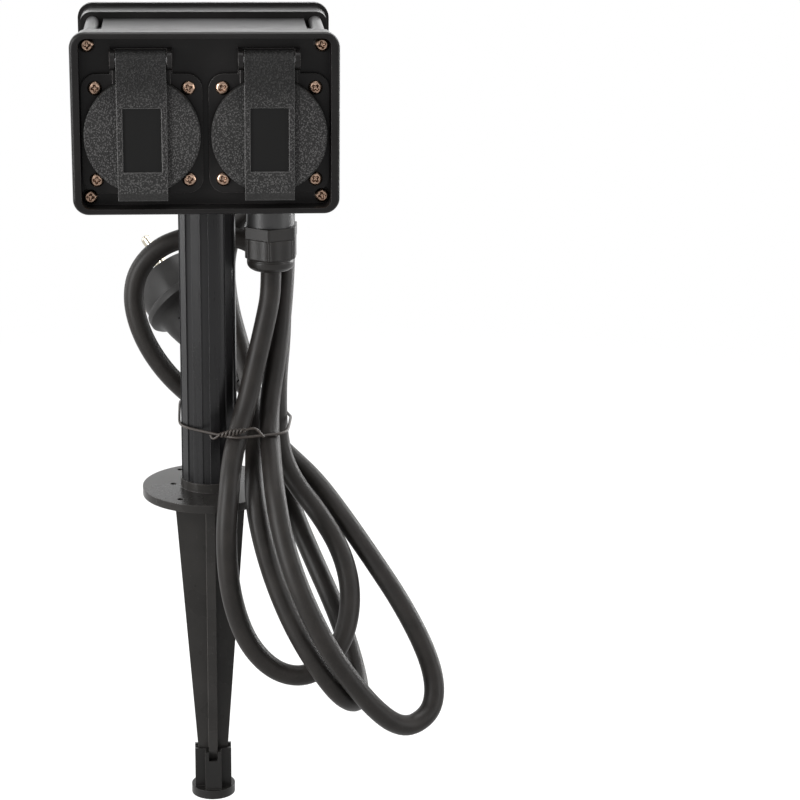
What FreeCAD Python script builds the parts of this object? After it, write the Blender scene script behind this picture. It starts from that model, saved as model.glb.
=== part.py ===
# Garden socket post: a double-sided box with four lidded mains sockets on a round pole with a ground
# spike, and its supply cable looped up and tied to the pole, with the plug at its end.
# Millimetres. Origin: centre of the underside of the ground disc. +Z runs up the pole, -Y is the
# front and +X is to the right as seen from the front. The rear side is the front one turned half
# round the pole.
import FreeCAD
import Part
import math
import os
from FreeCAD import Vector

# Fits between pieces
running_gap = 0.08
thread_gap = 0.05
seat_gap = 0.10
moving_gap = 0.35

# Ground disc, collar and spike
disc_radius = 29.7
disc_thickness = 3.5
collar_radius = 12.9
collar_height = 4.0
stub_height = 20.0
vane_thickness = 4.0
vane_top_width = 31.7
vane_bottom_width = 13.5
vane_taper_length = 123.0
spike_point_length = 15.0
spike_point_width = 4.0
drain_hole_radius = 1.3
drain_hole_places = [(-13.2, 21.3), (-13.0, -20.0), (-16.1, 1.2)]

# Cap on the spike
cap_sleeve_height = 18.6
cap_arm_width = 16.5
cap_wall = 1.3
cap_notch_depth = 4.5
cap_core_radius = 4.6
cap_foot_radius = 9.9
cap_foot_thickness = 4.0

# Pole
pole_radius = 12.3
pole_length = 134.0
pole_wall = 1.8
pole_flat_count = 10
pole_flat_width = 4.3
pole_flat_phase = 12.0
pole_groove_depth = 0.5

# Junction box in the middle; its steps are measured in from its widest and highest faces
box_half_depth = 24.2
box_inset_side = 3.8
box_inset_height = 3.8
box_crown_step = 6.4
box_crown_rise = 1.0
box_shoulder_step = 2.4
box_shoulder_drop = 2.7
box_side_drop = 8.2
box_wall = 2.2
column_radius = 2.9
spigot_height = 23.5
spigot_bore_radius = 6.0

# Frames, one on each side, with a sunk panel and a rim
frame_gasket_thickness = 0.8
frame_wall_thickness = 2.2
frame_back_thickness = 2.0
frame_depth = 21.2
frame_column_radius = 4.4
rim_depth = 4.5
rim_step = 1.6
rim_corner_radius = 6.5
rim_edge_radius = 1.5
rim_width_side = 3.6
rim_width_top = 2.5
panel_sink = 9.6
panel_thickness = 2.5
panel_margin_side = 0.45
panel_margin_height = 5.35
frame_screw_inset_side = 5.4
frame_screw_inset_height = 4.6
frame_pad_height = 0.9
frame_pad_radius = 3.3
frame_screw_length = 24.0

# Screws
screw_head_radius = 2.95
screw_head_height = 1.7
screw_shank_radius = 1.6
screw_clearance = 0.25
screw_recess_depth = 1.0
screw_recess_width = 0.8

# Socket bases; the cup's radius carries the flange, the recess, the hinge and the lid
socket_gap = 2.5
socket_drop = 5.0
flange_margin = 3.95
flange_thickness = 2.2
flange_corner_radius = 6.5
flange_seal_thickness = 0.6
flange_seal_inset = 1.0
flange_seal_clearance = 0.65
flange_screw_inset = 5.75
flange_screw_length = 9.0
flange_head_height = 1.3
cup_radius = 20.8
cup_wall = 1.4
recess_depth = 17.5
ring_height = 1.8
moat_depth = 1.0
island_inset_side = 3.0
island_inset_height = 6.55
island_chamfer = 3.2
face_thickness = 2.4
block_back = 1.2
block_half_width = 16.0
block_rise = 14.0
block_drop = 10.5
boss_radius = 3.0
boss_height = 6.0

# Electrical pieces of a socket
pin_spacing = 19.0
pin_radius = 2.4
pin_length = 19.0
pin_hole_radius = 2.7
contact_wall = 0.7
contact_tab_width = 4.0
contact_tab_depth = 3.0
contact_tab_drop = 15.5
live_tab_place = 7.5
neutral_tab_place = 12.0
earth_rise = 10.0
earth_pin_radius = 2.4
earth_pin_reach = 14.0
earth_pin_root = 6.0
dimple_place = (5.4, 9.6)
dimple_radius = 1.7
dimple_depth = 0.6
centre_head_radius = 2.65
centre_head_height = 1.1
centre_shank_length = 14.0

# Shutters behind the pin holes
shutter_half_width = 13.0
shutter_half_height = 3.5
shutter_thickness = 1.6
shutter_travel = 6.2
shutter_slot_half_width = 2.2

# Hinges and lids
hinge_stand = 3.4
hinge_reach = 10.2
lug_radius = 4.2
lug_outer_half_width = 12.65
arm_rib_place = 11.0
arm_rib_thickness = 1.5
arm_rib_height = 1.2
lid_overlap = 3.05
lid_lift = 1.6
lid_depth = 4.6
lid_plate_thickness = 2.2
lid_skirt_thickness = 1.8
lid_edge_radius = 0.8
lid_seal_overlap = 0.6
lid_seal_clearance = 0.2
strap_half_width = 10.15
strap_rise = 1.2
strap_thickness = 3.4
strap_reach = 26.5
window_half_width = 8.0
window_half_height = 13.3
window_drop = 1.5
window_depth = 0.8
hinge_pin_radius = 1.5
spring_half_length = 7.0
spring_wall = 1.0

# Cable gland
gland_x = 27.6
gland_boss_radius = 10.5
gland_boss_height = 20.0
gland_thread_radius = 8.2
gland_thread_length = 13.0
gland_bore_radius = 5.6
hex_half_width = 11.0
hex_height = 5.1
nut_radius = 11.75
nut_skirt_height = 9.5
nut_dome_height = 5.3
nut_mouth_radius = 7.3
nut_hole_radius = 4.8
nut_rib_count = 24
nut_rib_depth = 0.45
nut_wall = 1.6
gland_seal_height = 6.0

# Supply wiring in the box
tail_above_floor = 1.4
core_radius = 1.1
splice_half_width = 1.35
core_offset = 2.4
live_bus_rise = 8.8
neutral_bus_rise = 5.4
earth_bus_rise = 18.3
earth_bus_place = 9.0
earth_cross_rise = 10.5

# Cable and plug
cable_radius = 4.5
tube_arc_share = 0.45
plug_pin_axis = Vector(0.15, 0.79, -0.59)
relief_length = 20.0
relief_radius = 5.9
relief_rib_radius = 6.9
relief_rib_count = 4
grip_start_radius = 10.5
grip_end_radius = 15.5
grip_length = 24.0
plug_guard_radius = 20.0
plug_guard_thickness = 4.5
plug_body_radius = 18.4
plug_body_length = 14.0
plug_pin_root = 10.0
plug_pin_root_radius = 1.9
plug_earth_reach = 10.0
plug_earth_half_width = 3.0
plug_earth_half_height = 4.0
plug_earth_hole_radius = 2.5
plug_earth_depth = 6.0
plug_clip_width = 5.0
plug_clip_thickness = 0.8
plug_clip_length = 9.0

# Wire tie round the pole and the cable
tie_height = 33.0
tie_wire_radius = 0.6

# The cable's route, from the gland down, by hand: three loops below the disc and two turns behind
# the pole, ending in the plug's strain relief
cable_route = [
    (27.6, 0, 101.4), (27.6, 0, 91.5), (25.5, -3.5, 81.5), (21, -7.5, 63.5), (16.5, -12, 45),
    (12.5, -18.5, 33), (9.5, -28, 23.5), (8, -36.5, 12), (6.5, -42, -4), (7, -44.5, -22.5),
    (10, -46.5, -39.5), (16, -48.5, -54.5), (26.5, -49.5, -66), (39, -49.5, -69.5),
    (50.5, -47.5, -64), (58.5, -42, -52), (61.5, -31, -37.5), (58, -20, -22.5), (48.5, -9.5, -8),
    (37, -0.5, 4.5), (30.5, 3, 20.5), (30, 7, 48), (32.5, 16.5, 67), (33, 26, 84),
    (29, 32.5, 97), (19.5, 36.5, 106), (5, 38, 108.5), (-9, 38.5, 107.5), (-22, 38, 102.5),
    (-31, 37, 92.5), (-33.5, 35.5, 80), (-30.5, 33.5, 66), (-23.5, 31.5, 52.5),
    (-13.5, 30, 40.5), (-1, 29, 30.5), (11.5, 28, 24), (23.5, 23, 21.5), (34.5, 15.5, 12.5),
    (47, 7.5, 2.5), (58, -5, -9.5), (71, -18, -26), (84, -29, -44), (94.5, -38.5, -63.5),
    (98, -44.5, -78), (95, -50, -88), (83.5, -56.5, -92), (70, -62.5, -80.5), (51.5, -66.5, -54),
    (39, -62, -29), (31, -52, -7), (27.5, -39.5, 12.5), (26.5, -23, 25), (26, -10.5, 34),
    (27, -3, 46), (30, 2.5, 62), (32.5, 9.5, 78.5), (34.5, 19.5, 99.5), (34.5, 27, 112.5),
    (29.5, 36, 120.5), (20, 45.5, 119), (12, 51.5, 108.5), (8, 54, 92), (9.5, 51, 73),
    (14.5, 41.5, 55.5), (19, 27, 42.5), (20.5, 9.5, 33), (20, -13, 18), (19, -33, 8),
    (22, -39.5, -9), (27.5, -45, -27.5), (35.5, -52.5, -45.5), (45.5, -59, -61.5),
    (55.5, -61, -74.5), (63.5, -49, -82.5), (64.5, -37, -78.5), (60.5, -25, -64),
    (54.5, -13, -49.5), (46, -1, -32.5), (38.5, 12, -17), (33.5, 22, -4), (32, 30, 12.5),
    (22.7, 38.4, 28.2), (14.5, 47.5, 38.5),
]

# Places that follow from the sizes above
pole_bottom = disc_thickness + collar_height
box_bottom = pole_bottom + pole_length
recess_radius = cup_radius - cup_wall
flange_half_width = cup_radius + flange_margin
flange_screw_spacing = 2 * (flange_half_width - flange_screw_inset)
socket_spacing = 2 * flange_half_width + socket_gap
mouth_half_width = socket_spacing / 2 + flange_half_width + panel_margin_side
mouth_half_height = socket_drop + flange_half_width + panel_margin_height
frame_wall_half_width = mouth_half_width + rim_width_side - rim_step
frame_wall_half_height = mouth_half_height + rim_width_top - rim_step
frame_screw_x = frame_wall_half_width - frame_screw_inset_side
frame_screw_z = frame_wall_half_height - frame_screw_inset_height
box_half_width = frame_wall_half_width - box_inset_side
box_half_height = frame_wall_half_height - box_inset_height
island_half_width = recess_radius - island_inset_side
island_half_height = recess_radius - island_inset_height
lid_radius = cup_radius + lid_overlap
lid_seal_radius = cup_radius + lid_seal_overlap
hinge_rise = cup_radius + hinge_reach
box_centre = box_bottom + box_half_height
socket_height = box_centre - socket_drop
frame_back = box_half_depth + frame_gasket_thickness
rim_plane = frame_back + frame_depth
panel_face = rim_plane - panel_sink
flange_back = panel_face + flange_seal_thickness
flange_face = flange_back + flange_thickness
recess_floor = flange_face - recess_depth
face_back = recess_floor - face_thickness
ring_top = flange_face + ring_height
hinge_height = socket_height + hinge_rise
hinge_plane = flange_face + hinge_stand
lid_skirt = flange_face + lid_lift
lid_face = lid_skirt + lid_depth
strap_face = lid_face + strap_rise
barrel_radius = strap_face - hinge_plane
boss_bottom = box_bottom - gland_boss_height
hex_bottom = boss_bottom - hex_height
nut_mouth = hex_bottom - nut_skirt_height - nut_dome_height
front = Vector(0, -1, 0)
up = Vector(0, 0, 1)
down = Vector(0, 0, -1)
right = Vector(1, 0, 0)

sides = {"front": 0, "rear": 180}
hands = {"left": -1, "right": 1}


# Small makers. Depths run outwards from the middle plane of the box, towards the front.
def save(name, solids):
    shape = Part.makeCompound(solids) if isinstance(solids, list) else solids
    shape.exportStep("parts/" + name + ".step")


def turned(shape, angle):
    copy = shape.copy()
    copy.rotate(Vector(0, 0, 0), up, angle)
    return copy


def block(x0, x1, z0, z1, depth0, depth1):
    return Part.makeBox(x1 - x0, depth1 - depth0, z1 - z0, Vector(x0, -depth1, z0))


def rod(x, z, radius, depth0, depth1):
    return Part.makeCylinder(radius, depth1 - depth0, Vector(x, -depth0, z), front)


def post(x, y, radius, z0, z1):
    return Part.makeCylinder(radius, z1 - z0, Vector(x, y, z0), up)


def axle(x0, x1, depth, z, radius):
    return Part.makeCylinder(radius, x1 - x0, Vector(x0, -depth, z), right)


def prism(points, depth0, depth1):
    wire = Part.makePolygon([Vector(x, -depth0, z) for x, z in points + points[:1]])
    return Part.Face(wire).extrude(front * (depth1 - depth0))


def rounded(x, z, half_width, half_height, radius, depth0, depth1):
    corners = [(1, 1, 0), (-1, 1, 90), (-1, -1, 180), (1, -1, 270)]
    arcs = []
    for sx, sz, start in corners:
        centre = Vector(x + sx * (half_width - radius), -depth0, z + sz * (half_height - radius))
        ends = [start, start + 45, start + 90]
        rim = [centre + Vector(math.cos(math.radians(a)), 0, math.sin(math.radians(a))) * radius
               for a in ends]
        arcs.append((rim, Part.Arc(*rim).toShape()))
    edges = []
    for place, (rim, arc) in enumerate(arcs):
        following = arcs[(place + 1) % len(arcs)][0]
        edges.append(arc)
        edges.append(Part.LineSegment(rim[2], following[0]).toShape())
    return Part.Face(Part.Wire(edges)).extrude(front * (depth1 - depth0))


def joined(shapes):
    return shapes[0].fuse(shapes[1:])


def without(shape, tools):
    return shape.cut(tools)


def edges_at(shape, depth, tolerance=0.01):
    found = []
    for edge in shape.Edges:
        box = edge.BoundBox
        if abs(box.YMin + depth) < tolerance and abs(box.YMax + depth) < tolerance:
            found.append(edge)
    return found


# Screw with a pan head and a cross recess, seated at a depth, pointing towards the middle plane
def screw(x, z, seat, head_radius, head_height, length):
    head = rod(x, z, head_radius, seat, seat + head_height)
    head = head.makeFillet(head_height * 0.45, edges_at(head, seat + head_height))
    shank = rod(x, z, screw_shank_radius, seat - length, seat)
    top = seat + head_height
    reach = head_radius * 0.62
    bars = [block(x - reach, x + reach, z - screw_recess_width / 2, z + screw_recess_width / 2,
                  top - screw_recess_depth, top + 1),
            block(x - screw_recess_width / 2, x + screw_recess_width / 2, z - reach, z + reach,
                  top - screw_recess_depth, top + 1)]
    return without(joined([head, shank]), bars)


# Junction box: an open shell with screw columns, a boss for the gland and a spigot for the pole
def box_outline(inset, depth0, depth1):
    steps = [(box_half_width - box_crown_step, box_half_height, box_half_height + box_crown_rise),
             (box_half_width - box_shoulder_step, box_half_height - box_shoulder_drop,
              box_half_height - box_shoulder_drop),
             (box_half_width, box_half_height - box_side_drop, box_half_height - box_side_drop)]
    return joined([block(-w + inset, w - inset, box_centre - low + inset, box_centre + high - inset,
                         depth0, depth1) for w, low, high in steps])


def frame_screw_places():
    return [(sx * frame_screw_x, box_centre + sz * frame_screw_z) for sx in (-1, 1) for sz in (-1, 1)]


def junction_box():
    shell = box_outline(0, -box_half_depth, box_half_depth)
    columns = [rod(x, z, column_radius, -box_half_depth, box_half_depth)
               for x, z in frame_screw_places()]
    hollow = without(box_outline(box_wall, -box_half_depth, box_half_depth), columns)
    shell = without(joined([shell] + columns), [hollow])
    boss = post(gland_x, 0, gland_boss_radius, boss_bottom, box_bottom + box_wall / 2)
    spigot_radius = pole_radius - pole_wall - seat_gap
    spigot = post(0, 0, spigot_radius, box_bottom - spigot_height, box_bottom + box_wall / 2)
    shell = joined([shell, boss, spigot])
    thread = post(gland_x, 0, gland_thread_radius + thread_gap, boss_bottom - 1,
                  boss_bottom + gland_thread_length + seat_gap)
    bore = post(gland_x, 0, cable_radius + seat_gap, boss_bottom, box_bottom + box_wall + 1)
    spigot_bore = post(0, 0, spigot_bore_radius, box_bottom - spigot_height - 1,
                       box_bottom - box_wall)
    depth = frame_screw_length - (panel_face + frame_pad_height - box_half_depth) + 1
    pilots = []
    for x, z in frame_screw_places():
        pilots.append(rod(x, z, screw_shank_radius + thread_gap, box_half_depth - depth, box_half_depth + 1))
        pilots.append(rod(x, z, screw_shank_radius + thread_gap, -box_half_depth - 1, depth - box_half_depth))
    return without(shell, [thread, bore, spigot_bore] + pilots)


def frame_gasket():
    ring = box_outline(box_wall * 0.2, box_half_depth, frame_back)
    return without(ring, [box_outline(box_wall * 0.9, box_half_depth - 1, frame_back + 1)]
                   + [rod(x, z, column_radius, box_half_depth - 1, frame_back + 1)
                      for x, z in frame_screw_places()])


# Frame: walls, a back ring on the gasket, a sunk panel with round openings, and the rim
def frame():
    wall_radius = rim_corner_radius - rim_step
    rim_back = rim_plane - rim_depth
    walls = rounded(0, box_centre, frame_wall_half_width, frame_wall_half_height, wall_radius,
                    frame_back, rim_back)
    rim = rounded(0, box_centre, frame_wall_half_width + rim_step, frame_wall_half_height + rim_step,
                  rim_corner_radius, rim_back, rim_plane)
    rim = rim.makeFillet(rim_edge_radius, edges_at(rim, rim_plane))
    body = joined([walls, rim])
    inside_half_width = frame_wall_half_width - frame_wall_thickness
    inside_half_height = frame_wall_half_height - frame_wall_thickness
    chamber = rounded(0, box_centre, inside_half_width, inside_half_height,
                      wall_radius - frame_wall_thickness / 2, frame_back + frame_back_thickness,
                      panel_face - panel_thickness)
    mouth = rounded(0, box_centre, mouth_half_width, mouth_half_height,
                    rim_corner_radius - (rim_width_side + rim_width_top) / 2,
                    panel_face, rim_plane + 1)
    back_opening = box_outline(box_wall, frame_back - 1, frame_back + frame_back_thickness)
    columns = [rod(x, z, frame_column_radius, frame_back, panel_face) for x, z in frame_screw_places()]
    pads = [rod(x, z, frame_pad_radius, panel_face, panel_face + frame_pad_height)
            for x, z in frame_screw_places()]
    limits = rounded(0, box_centre, frame_wall_half_width, frame_wall_half_height, wall_radius,
                     frame_back, rim_plane)
    columns = [column.common(limits) for column in columns + pads]
    bosses = [rod(x, z, boss_radius, panel_face - panel_thickness - boss_height, panel_face)
              for hand in hands.values() for x, z in flange_screw_places(hand)]
    body = joined([without(body, [chamber, mouth, back_opening])] + columns + bosses)
    holes = [rod(x, z, screw_shank_radius + screw_clearance, frame_back - 1, rim_plane)
             for x, z in frame_screw_places()]
    for hand in hands.values():
        x = hand * socket_spacing / 2
        holes.append(rod(x, socket_height, cup_radius + moving_gap, frame_back, rim_plane))
        pilot_end = flange_face - flange_screw_length - 1
        holes += [rod(px, pz, screw_shank_radius + thread_gap, pilot_end, rim_plane)
                  for px, pz in flange_screw_places(hand)]
    return without(body, holes)


def frame_screws():
    seat = panel_face + frame_pad_height
    return [screw(x, z, seat, screw_head_radius, screw_head_height, frame_screw_length)
            for x, z in frame_screw_places()]


# Socket base: flange, raised ring round the recess, open cup, hinge lugs and ribs
def flange_screw_places(hand):
    half = flange_screw_spacing / 2
    x = hand * socket_spacing / 2
    return [(x + sx * half, socket_height + sz * half) for sx in (-1, 1) for sz in (-1, 1)]


def island(x):
    w = island_half_width
    h = island_half_height
    c = island_chamfer
    points = [(-w, h), (w, h), (w, -h + c), (w - c, -h), (-w + c, -h), (-w, -h + c)]
    outline = [(x + px, socket_height + pz) for px, pz in points]
    return prism(outline, recess_floor - moat_depth, recess_floor)


def lug_inner_half_width():
    return strap_half_width + moving_gap


def hinge_lugs(x):
    plate = block(x - lug_outer_half_width, x + lug_outer_half_width, socket_height + flange_half_width - 1,
                  hinge_height + lug_radius, flange_back, flange_face)
    pieces = [plate]
    for sign in (-1, 1):
        ends = sorted((x + sign * lug_inner_half_width(), x + sign * lug_outer_half_width))
        cheek = block(ends[0], ends[1], hinge_height - lug_radius, hinge_height + lug_radius,
                      flange_back, hinge_plane)
        pieces += [cheek, axle(ends[0], ends[1], hinge_plane, hinge_height, lug_radius)]
    return pieces


def arm_ribs(x):
    top = hinge_height - lug_radius
    bottom = socket_height + math.sqrt(cup_radius ** 2 - arm_rib_place ** 2) - 1
    ribs = []
    for sign in (-1, 1):
        middle = x + sign * arm_rib_place
        ribs.append(block(middle - arm_rib_thickness / 2, middle + arm_rib_thickness / 2, bottom, top,
                          flange_face, flange_face + arm_rib_height))
    return ribs


def shutter_front():
    return face_back - seat_gap


def shutter_back():
    return shutter_front() - shutter_thickness


def cup_back():
    return shutter_back() - 2 * seat_gap


def socket_base(hand):
    x = hand * socket_spacing / 2
    z = socket_height
    flange = rounded(x, z, flange_half_width, flange_half_width, flange_corner_radius,
                     flange_back, flange_face)
    cup = rod(x, z, cup_radius, cup_back(), ring_top)
    body = joined([flange, cup] + hinge_lugs(x) + arm_ribs(x))
    cuts = [rod(x, z, recess_radius, cup_back() - 1, ring_top + 1)]
    cuts += [rod(px, pz, screw_shank_radius + screw_clearance, flange_back - 1, flange_face + 1)
             for px, pz in flange_screw_places(hand)]
    cuts += [rod(px, pz, frame_pad_radius + seat_gap, flange_back - 1, flange_face + 1)
             for px, pz in frame_screw_places()]
    cuts.append(axle(x - lug_inner_half_width(), x + lug_inner_half_width(), hinge_plane, hinge_height,
                     barrel_radius + moving_gap))
    cuts.append(axle(x - lug_outer_half_width - 1, x + lug_outer_half_width + 1, hinge_plane,
                     hinge_height, hinge_pin_radius + thread_gap))
    return without(body, cuts)


# Guide plate in the cup's end, between the face plate and the contact block: the shutter runs in its window
def guide_plate(hand):
    x = hand * socket_spacing / 2
    z = socket_height
    slack = moving_gap
    plate = rod(x, z, recess_radius - seat_gap, cup_back(), face_back)
    window = block(x - shutter_half_width - slack, x + shutter_half_width + slack,
                   z - shutter_half_height - shutter_travel - slack, z + shutter_half_height + slack,
                   cup_back() - 1, face_back + 1)
    earth_hole = rod(x, z + earth_rise, earth_pin_radius + thread_gap, cup_back() - 1, face_back + 1)
    return without(plate, [window, earth_hole])


# Face plate on the guide plate, with the raised island, the pin holes and a dimple
def socket_face(hand):
    x = hand * socket_spacing / 2
    z = socket_height
    radius = recess_radius - seat_gap
    plate = joined([rod(x, z, radius, face_back, recess_floor - moat_depth),
                    island(x).common(rod(x, z, radius, face_back, recess_floor))])
    cuts = [rod(x + sign * pin_spacing / 2, z, pin_hole_radius, face_back - 1, recess_floor + 1)
            for sign in (-1, 1)]
    cuts.append(rod(x, z + earth_rise, earth_pin_radius + thread_gap, face_back - 1, recess_floor + 1))
    cuts.append(rod(x, z, screw_shank_radius + thread_gap, face_back - 1, recess_floor + 1))
    cuts.append(Part.makeSphere(dimple_radius, Vector(x + dimple_place[0],
                -(recess_floor + dimple_radius - dimple_depth), z + dimple_place[1])))
    return without(plate, cuts)


# Contact block behind the cup: an upper and a lower bar with three spacers between them, which leave
# a square chamber for each contact; its tab passes through a slot in the lower bar
def contact_block(hand):
    x = hand * socket_spacing / 2
    z = socket_height
    w = block_half_width
    reach = contact_radius() + seat_gap
    inner = pin_spacing / 2 - reach
    outer = pin_spacing / 2 + reach
    upper = block(x - w, x + w, z + reach, z + block_rise, block_back, cup_back())
    earth_hole = rod(x, z + earth_rise, earth_pin_radius + thread_gap, earth_pin_root, cup_back() + 1)
    bus_hole = post(x, -earth_bus_place, core_radius + seat_gap, z + earth_rise, z + earth_bus_rise)
    lower = block(x - w, x + w, z - block_drop, z - reach, block_back, cup_back())
    half = contact_tab_width / 2 + seat_gap
    slots = []
    for sign, place in ((-1, live_tab_place), (1, neutral_tab_place)):
        px = x + sign * pin_spacing / 2
        slots.append(block(px - half, px + half, z - block_drop - 1, z, block_back - 1,
                           place + contact_tab_depth / 2 + seat_gap))
    left, middle, right = [block(x + a, x + b, z - reach, z + reach, block_back, cup_back())
                           for a, b in ((-w, -outer), (-inner, inner), (outer, w))]
    screw_hole = rod(x, z, screw_shank_radius + thread_gap, recess_floor - centre_shank_length - 1,
                     cup_back() + 1)
    return [without(upper, [earth_hole, bus_hole]), without(lower, slots), left,
            without(middle, [screw_hole]), right]


def flange_seal(hand):
    x = hand * socket_spacing / 2
    inset = flange_seal_inset
    outer = rounded(x, socket_height, flange_half_width - inset, flange_half_width - inset,
                    flange_corner_radius - inset, panel_face, flange_back)
    holes = [rod(x, socket_height, cup_radius + flange_seal_clearance, panel_face - 1, flange_back + 1)]
    holes += [rod(px, pz, screw_shank_radius + screw_clearance, panel_face - 1, flange_back + 1)
              for px, pz in flange_screw_places(hand)]
    holes += [rod(px, pz, frame_pad_radius + screw_clearance, panel_face - 1, flange_back + 1)
              for px, pz in frame_screw_places()]
    return without(outer, holes)


def flange_screws():
    return [screw(x, z, flange_face, screw_head_radius, flange_head_height, flange_screw_length)
            for hand in hands.values() for x, z in flange_screw_places(hand)]


# Contacts, earth pin, centre screw and shutter of one socket
def contact_radius():
    return pin_radius + seat_gap + contact_wall


def contact_back():
    return recess_floor - pin_length - 2 * seat_gap


def contacts(hand):
    x = hand * socket_spacing / 2
    z = socket_height
    front_end = cup_back()
    pair = []
    for sign, place in ((-1, live_tab_place), (1, neutral_tab_place)):
        px = x + sign * pin_spacing / 2
        sleeve = rod(px, z, contact_radius(), contact_back(), front_end)
        half = contact_tab_width / 2
        tab = block(px - half, px + half, z - contact_tab_drop, z, place - contact_tab_depth / 2,
                    place + contact_tab_depth / 2)
        bore = rod(px, z, pin_radius + seat_gap, recess_floor - pin_length - seat_gap, front_end + 1)
        pair.append(without(joined([sleeve, tab]), [bore]))
    return pair


def earth_pin(hand):
    x = hand * socket_spacing / 2
    tip = recess_floor + earth_pin_reach
    pin = rod(x, socket_height + earth_rise, earth_pin_radius, earth_pin_root, tip)
    return pin.makeFillet(earth_pin_radius * 0.7, edges_at(pin, tip))


def centre_screw(hand):
    return screw(hand * socket_spacing / 2, socket_height, recess_floor, centre_head_radius,
                 centre_head_height, centre_shank_length)


def shutter(hand):
    x = hand * socket_spacing / 2
    z = socket_height
    plate = block(x - shutter_half_width, x + shutter_half_width, z - shutter_half_height,
                  z + shutter_half_height, shutter_back(), shutter_front())
    slot = block(x - shutter_slot_half_width, x + shutter_slot_half_width,
                 z - screw_shank_radius - moving_gap, z + shutter_half_height + 1,
                 shutter_back() - 1, shutter_front() + 1)
    return without(plate, [slot])


# Lid: a dished disc under a strap that runs from the hinge barrel to the finger tab
def lid(hand):
    x = hand * socket_spacing / 2
    z = socket_height
    disc = rod(x, z, lid_radius, lid_skirt, lid_face)
    disc = disc.makeFillet(lid_edge_radius, edges_at(disc, lid_face))
    under = rod(x, z, lid_radius - lid_skirt_thickness, lid_skirt - 1, lid_face - lid_plate_thickness)
    strap = block(x - strap_half_width, x + strap_half_width, z - strap_reach, hinge_height,
                  strap_face - strap_thickness, strap_face)
    barrel = axle(x - strap_half_width, x + strap_half_width, hinge_plane, hinge_height, barrel_radius)
    body = without(joined([disc, strap, barrel]), [under])
    window = block(x - window_half_width, x + window_half_width, z - window_drop - window_half_height,
                   z - window_drop + window_half_height, strap_face - window_depth, strap_face + 1)
    bore = axle(x - strap_half_width - 1, x + strap_half_width + 1, hinge_plane, hinge_height,
                hinge_pin_radius + running_gap)
    pocket_radius = hinge_pin_radius + running_gap + spring_wall + 2 * seat_gap
    pocket = axle(x - spring_half_length, x + spring_half_length, hinge_plane, hinge_height, pocket_radius)
    return without(body, [window, bore, pocket])


def lid_seal(hand):
    x = hand * socket_spacing / 2
    return rod(x, socket_height, lid_seal_radius, ring_top + lid_seal_clearance,
               lid_face - lid_plate_thickness)


def hinge_pin(hand):
    x = hand * socket_spacing / 2
    return axle(x - lug_outer_half_width + seat_gap, x + lug_outer_half_width - seat_gap, hinge_plane,
                hinge_height, hinge_pin_radius)


def lid_spring(hand):
    x = hand * socket_spacing / 2
    half = spring_half_length - seat_gap
    inner = hinge_pin_radius + seat_gap
    sleeve = axle(x - half, x + half, hinge_plane, hinge_height, inner + spring_wall)
    return without(sleeve, [axle(x - half - 1, x + half + 1, hinge_plane, hinge_height, inner)])


# Gland: threaded body in the box's boss, rubber seal, and ribbed dome nut
def gland_body():
    shank = post(gland_x, 0, gland_thread_radius, hex_bottom - nut_skirt_height + 1,
                 boss_bottom + gland_thread_length)
    corner = hex_half_width / math.cos(math.radians(30))
    points = [Vector(gland_x + corner * math.cos(math.radians(60 * k)),
                     corner * math.sin(math.radians(60 * k)), hex_bottom) for k in range(7)]
    nut = Part.Face(Part.makePolygon(points)).extrude(up * hex_height)
    bore = post(gland_x, 0, cable_radius + seat_gap, hex_bottom - nut_skirt_height,
                boss_bottom + gland_thread_length + 1)
    seal_seat = post(gland_x, 0, gland_bore_radius + seat_gap, hex_bottom - nut_skirt_height,
                     hex_bottom - nut_skirt_height + 1 + gland_seal_height)
    return without(joined([shank, nut]), [bore, seal_seat])


def gland_seal():
    bottom = hex_bottom - nut_skirt_height + 1
    ring = post(gland_x, 0, gland_bore_radius, bottom, bottom + gland_seal_height - seat_gap)
    return without(ring, [post(gland_x, 0, cable_radius + thread_gap, bottom - 1,
                               bottom + gland_seal_height)])


def gland_nut():
    shoulder = hex_bottom - nut_skirt_height
    skirt = post(gland_x, 0, nut_radius, shoulder, hex_bottom)
    grooves = []
    for k in range(nut_rib_count):
        angle = 2 * math.pi * k / nut_rib_count
        reach = nut_radius + nut_rib_depth
        grooves.append(post(gland_x + reach * math.cos(angle), reach * math.sin(angle),
                            2 * nut_rib_depth, shoulder + 1, hex_bottom + 1))
    skirt = without(skirt, grooves)
    lower = nut_mouth_radius
    profile = [Vector(gland_x, 0, shoulder), Vector(gland_x + nut_radius, 0, shoulder),
               Vector(gland_x + lower, 0, nut_mouth), Vector(gland_x, 0, nut_mouth)]
    bulge = Vector(gland_x + nut_radius - (nut_radius - lower) * 0.2, 0,
                   shoulder - nut_dome_height * 0.72)
    edges = [Part.LineSegment(profile[0], profile[1]).toShape(),
             Part.Arc(profile[1], bulge, profile[2]).toShape(),
             Part.LineSegment(profile[2], profile[3]).toShape(),
             Part.LineSegment(profile[3], profile[0]).toShape()]
    dome = Part.Face(Part.Wire(edges)).revolve(Vector(gland_x, 0, 0), up, 360)
    inside = post(gland_x, 0, gland_thread_radius + thread_gap, shoulder + nut_wall / 2, hex_bottom + 1)
    hole = post(gland_x, 0, nut_hole_radius, nut_mouth - 1, hex_bottom)
    return without(joined([skirt, dome]), [inside, hole])


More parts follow.
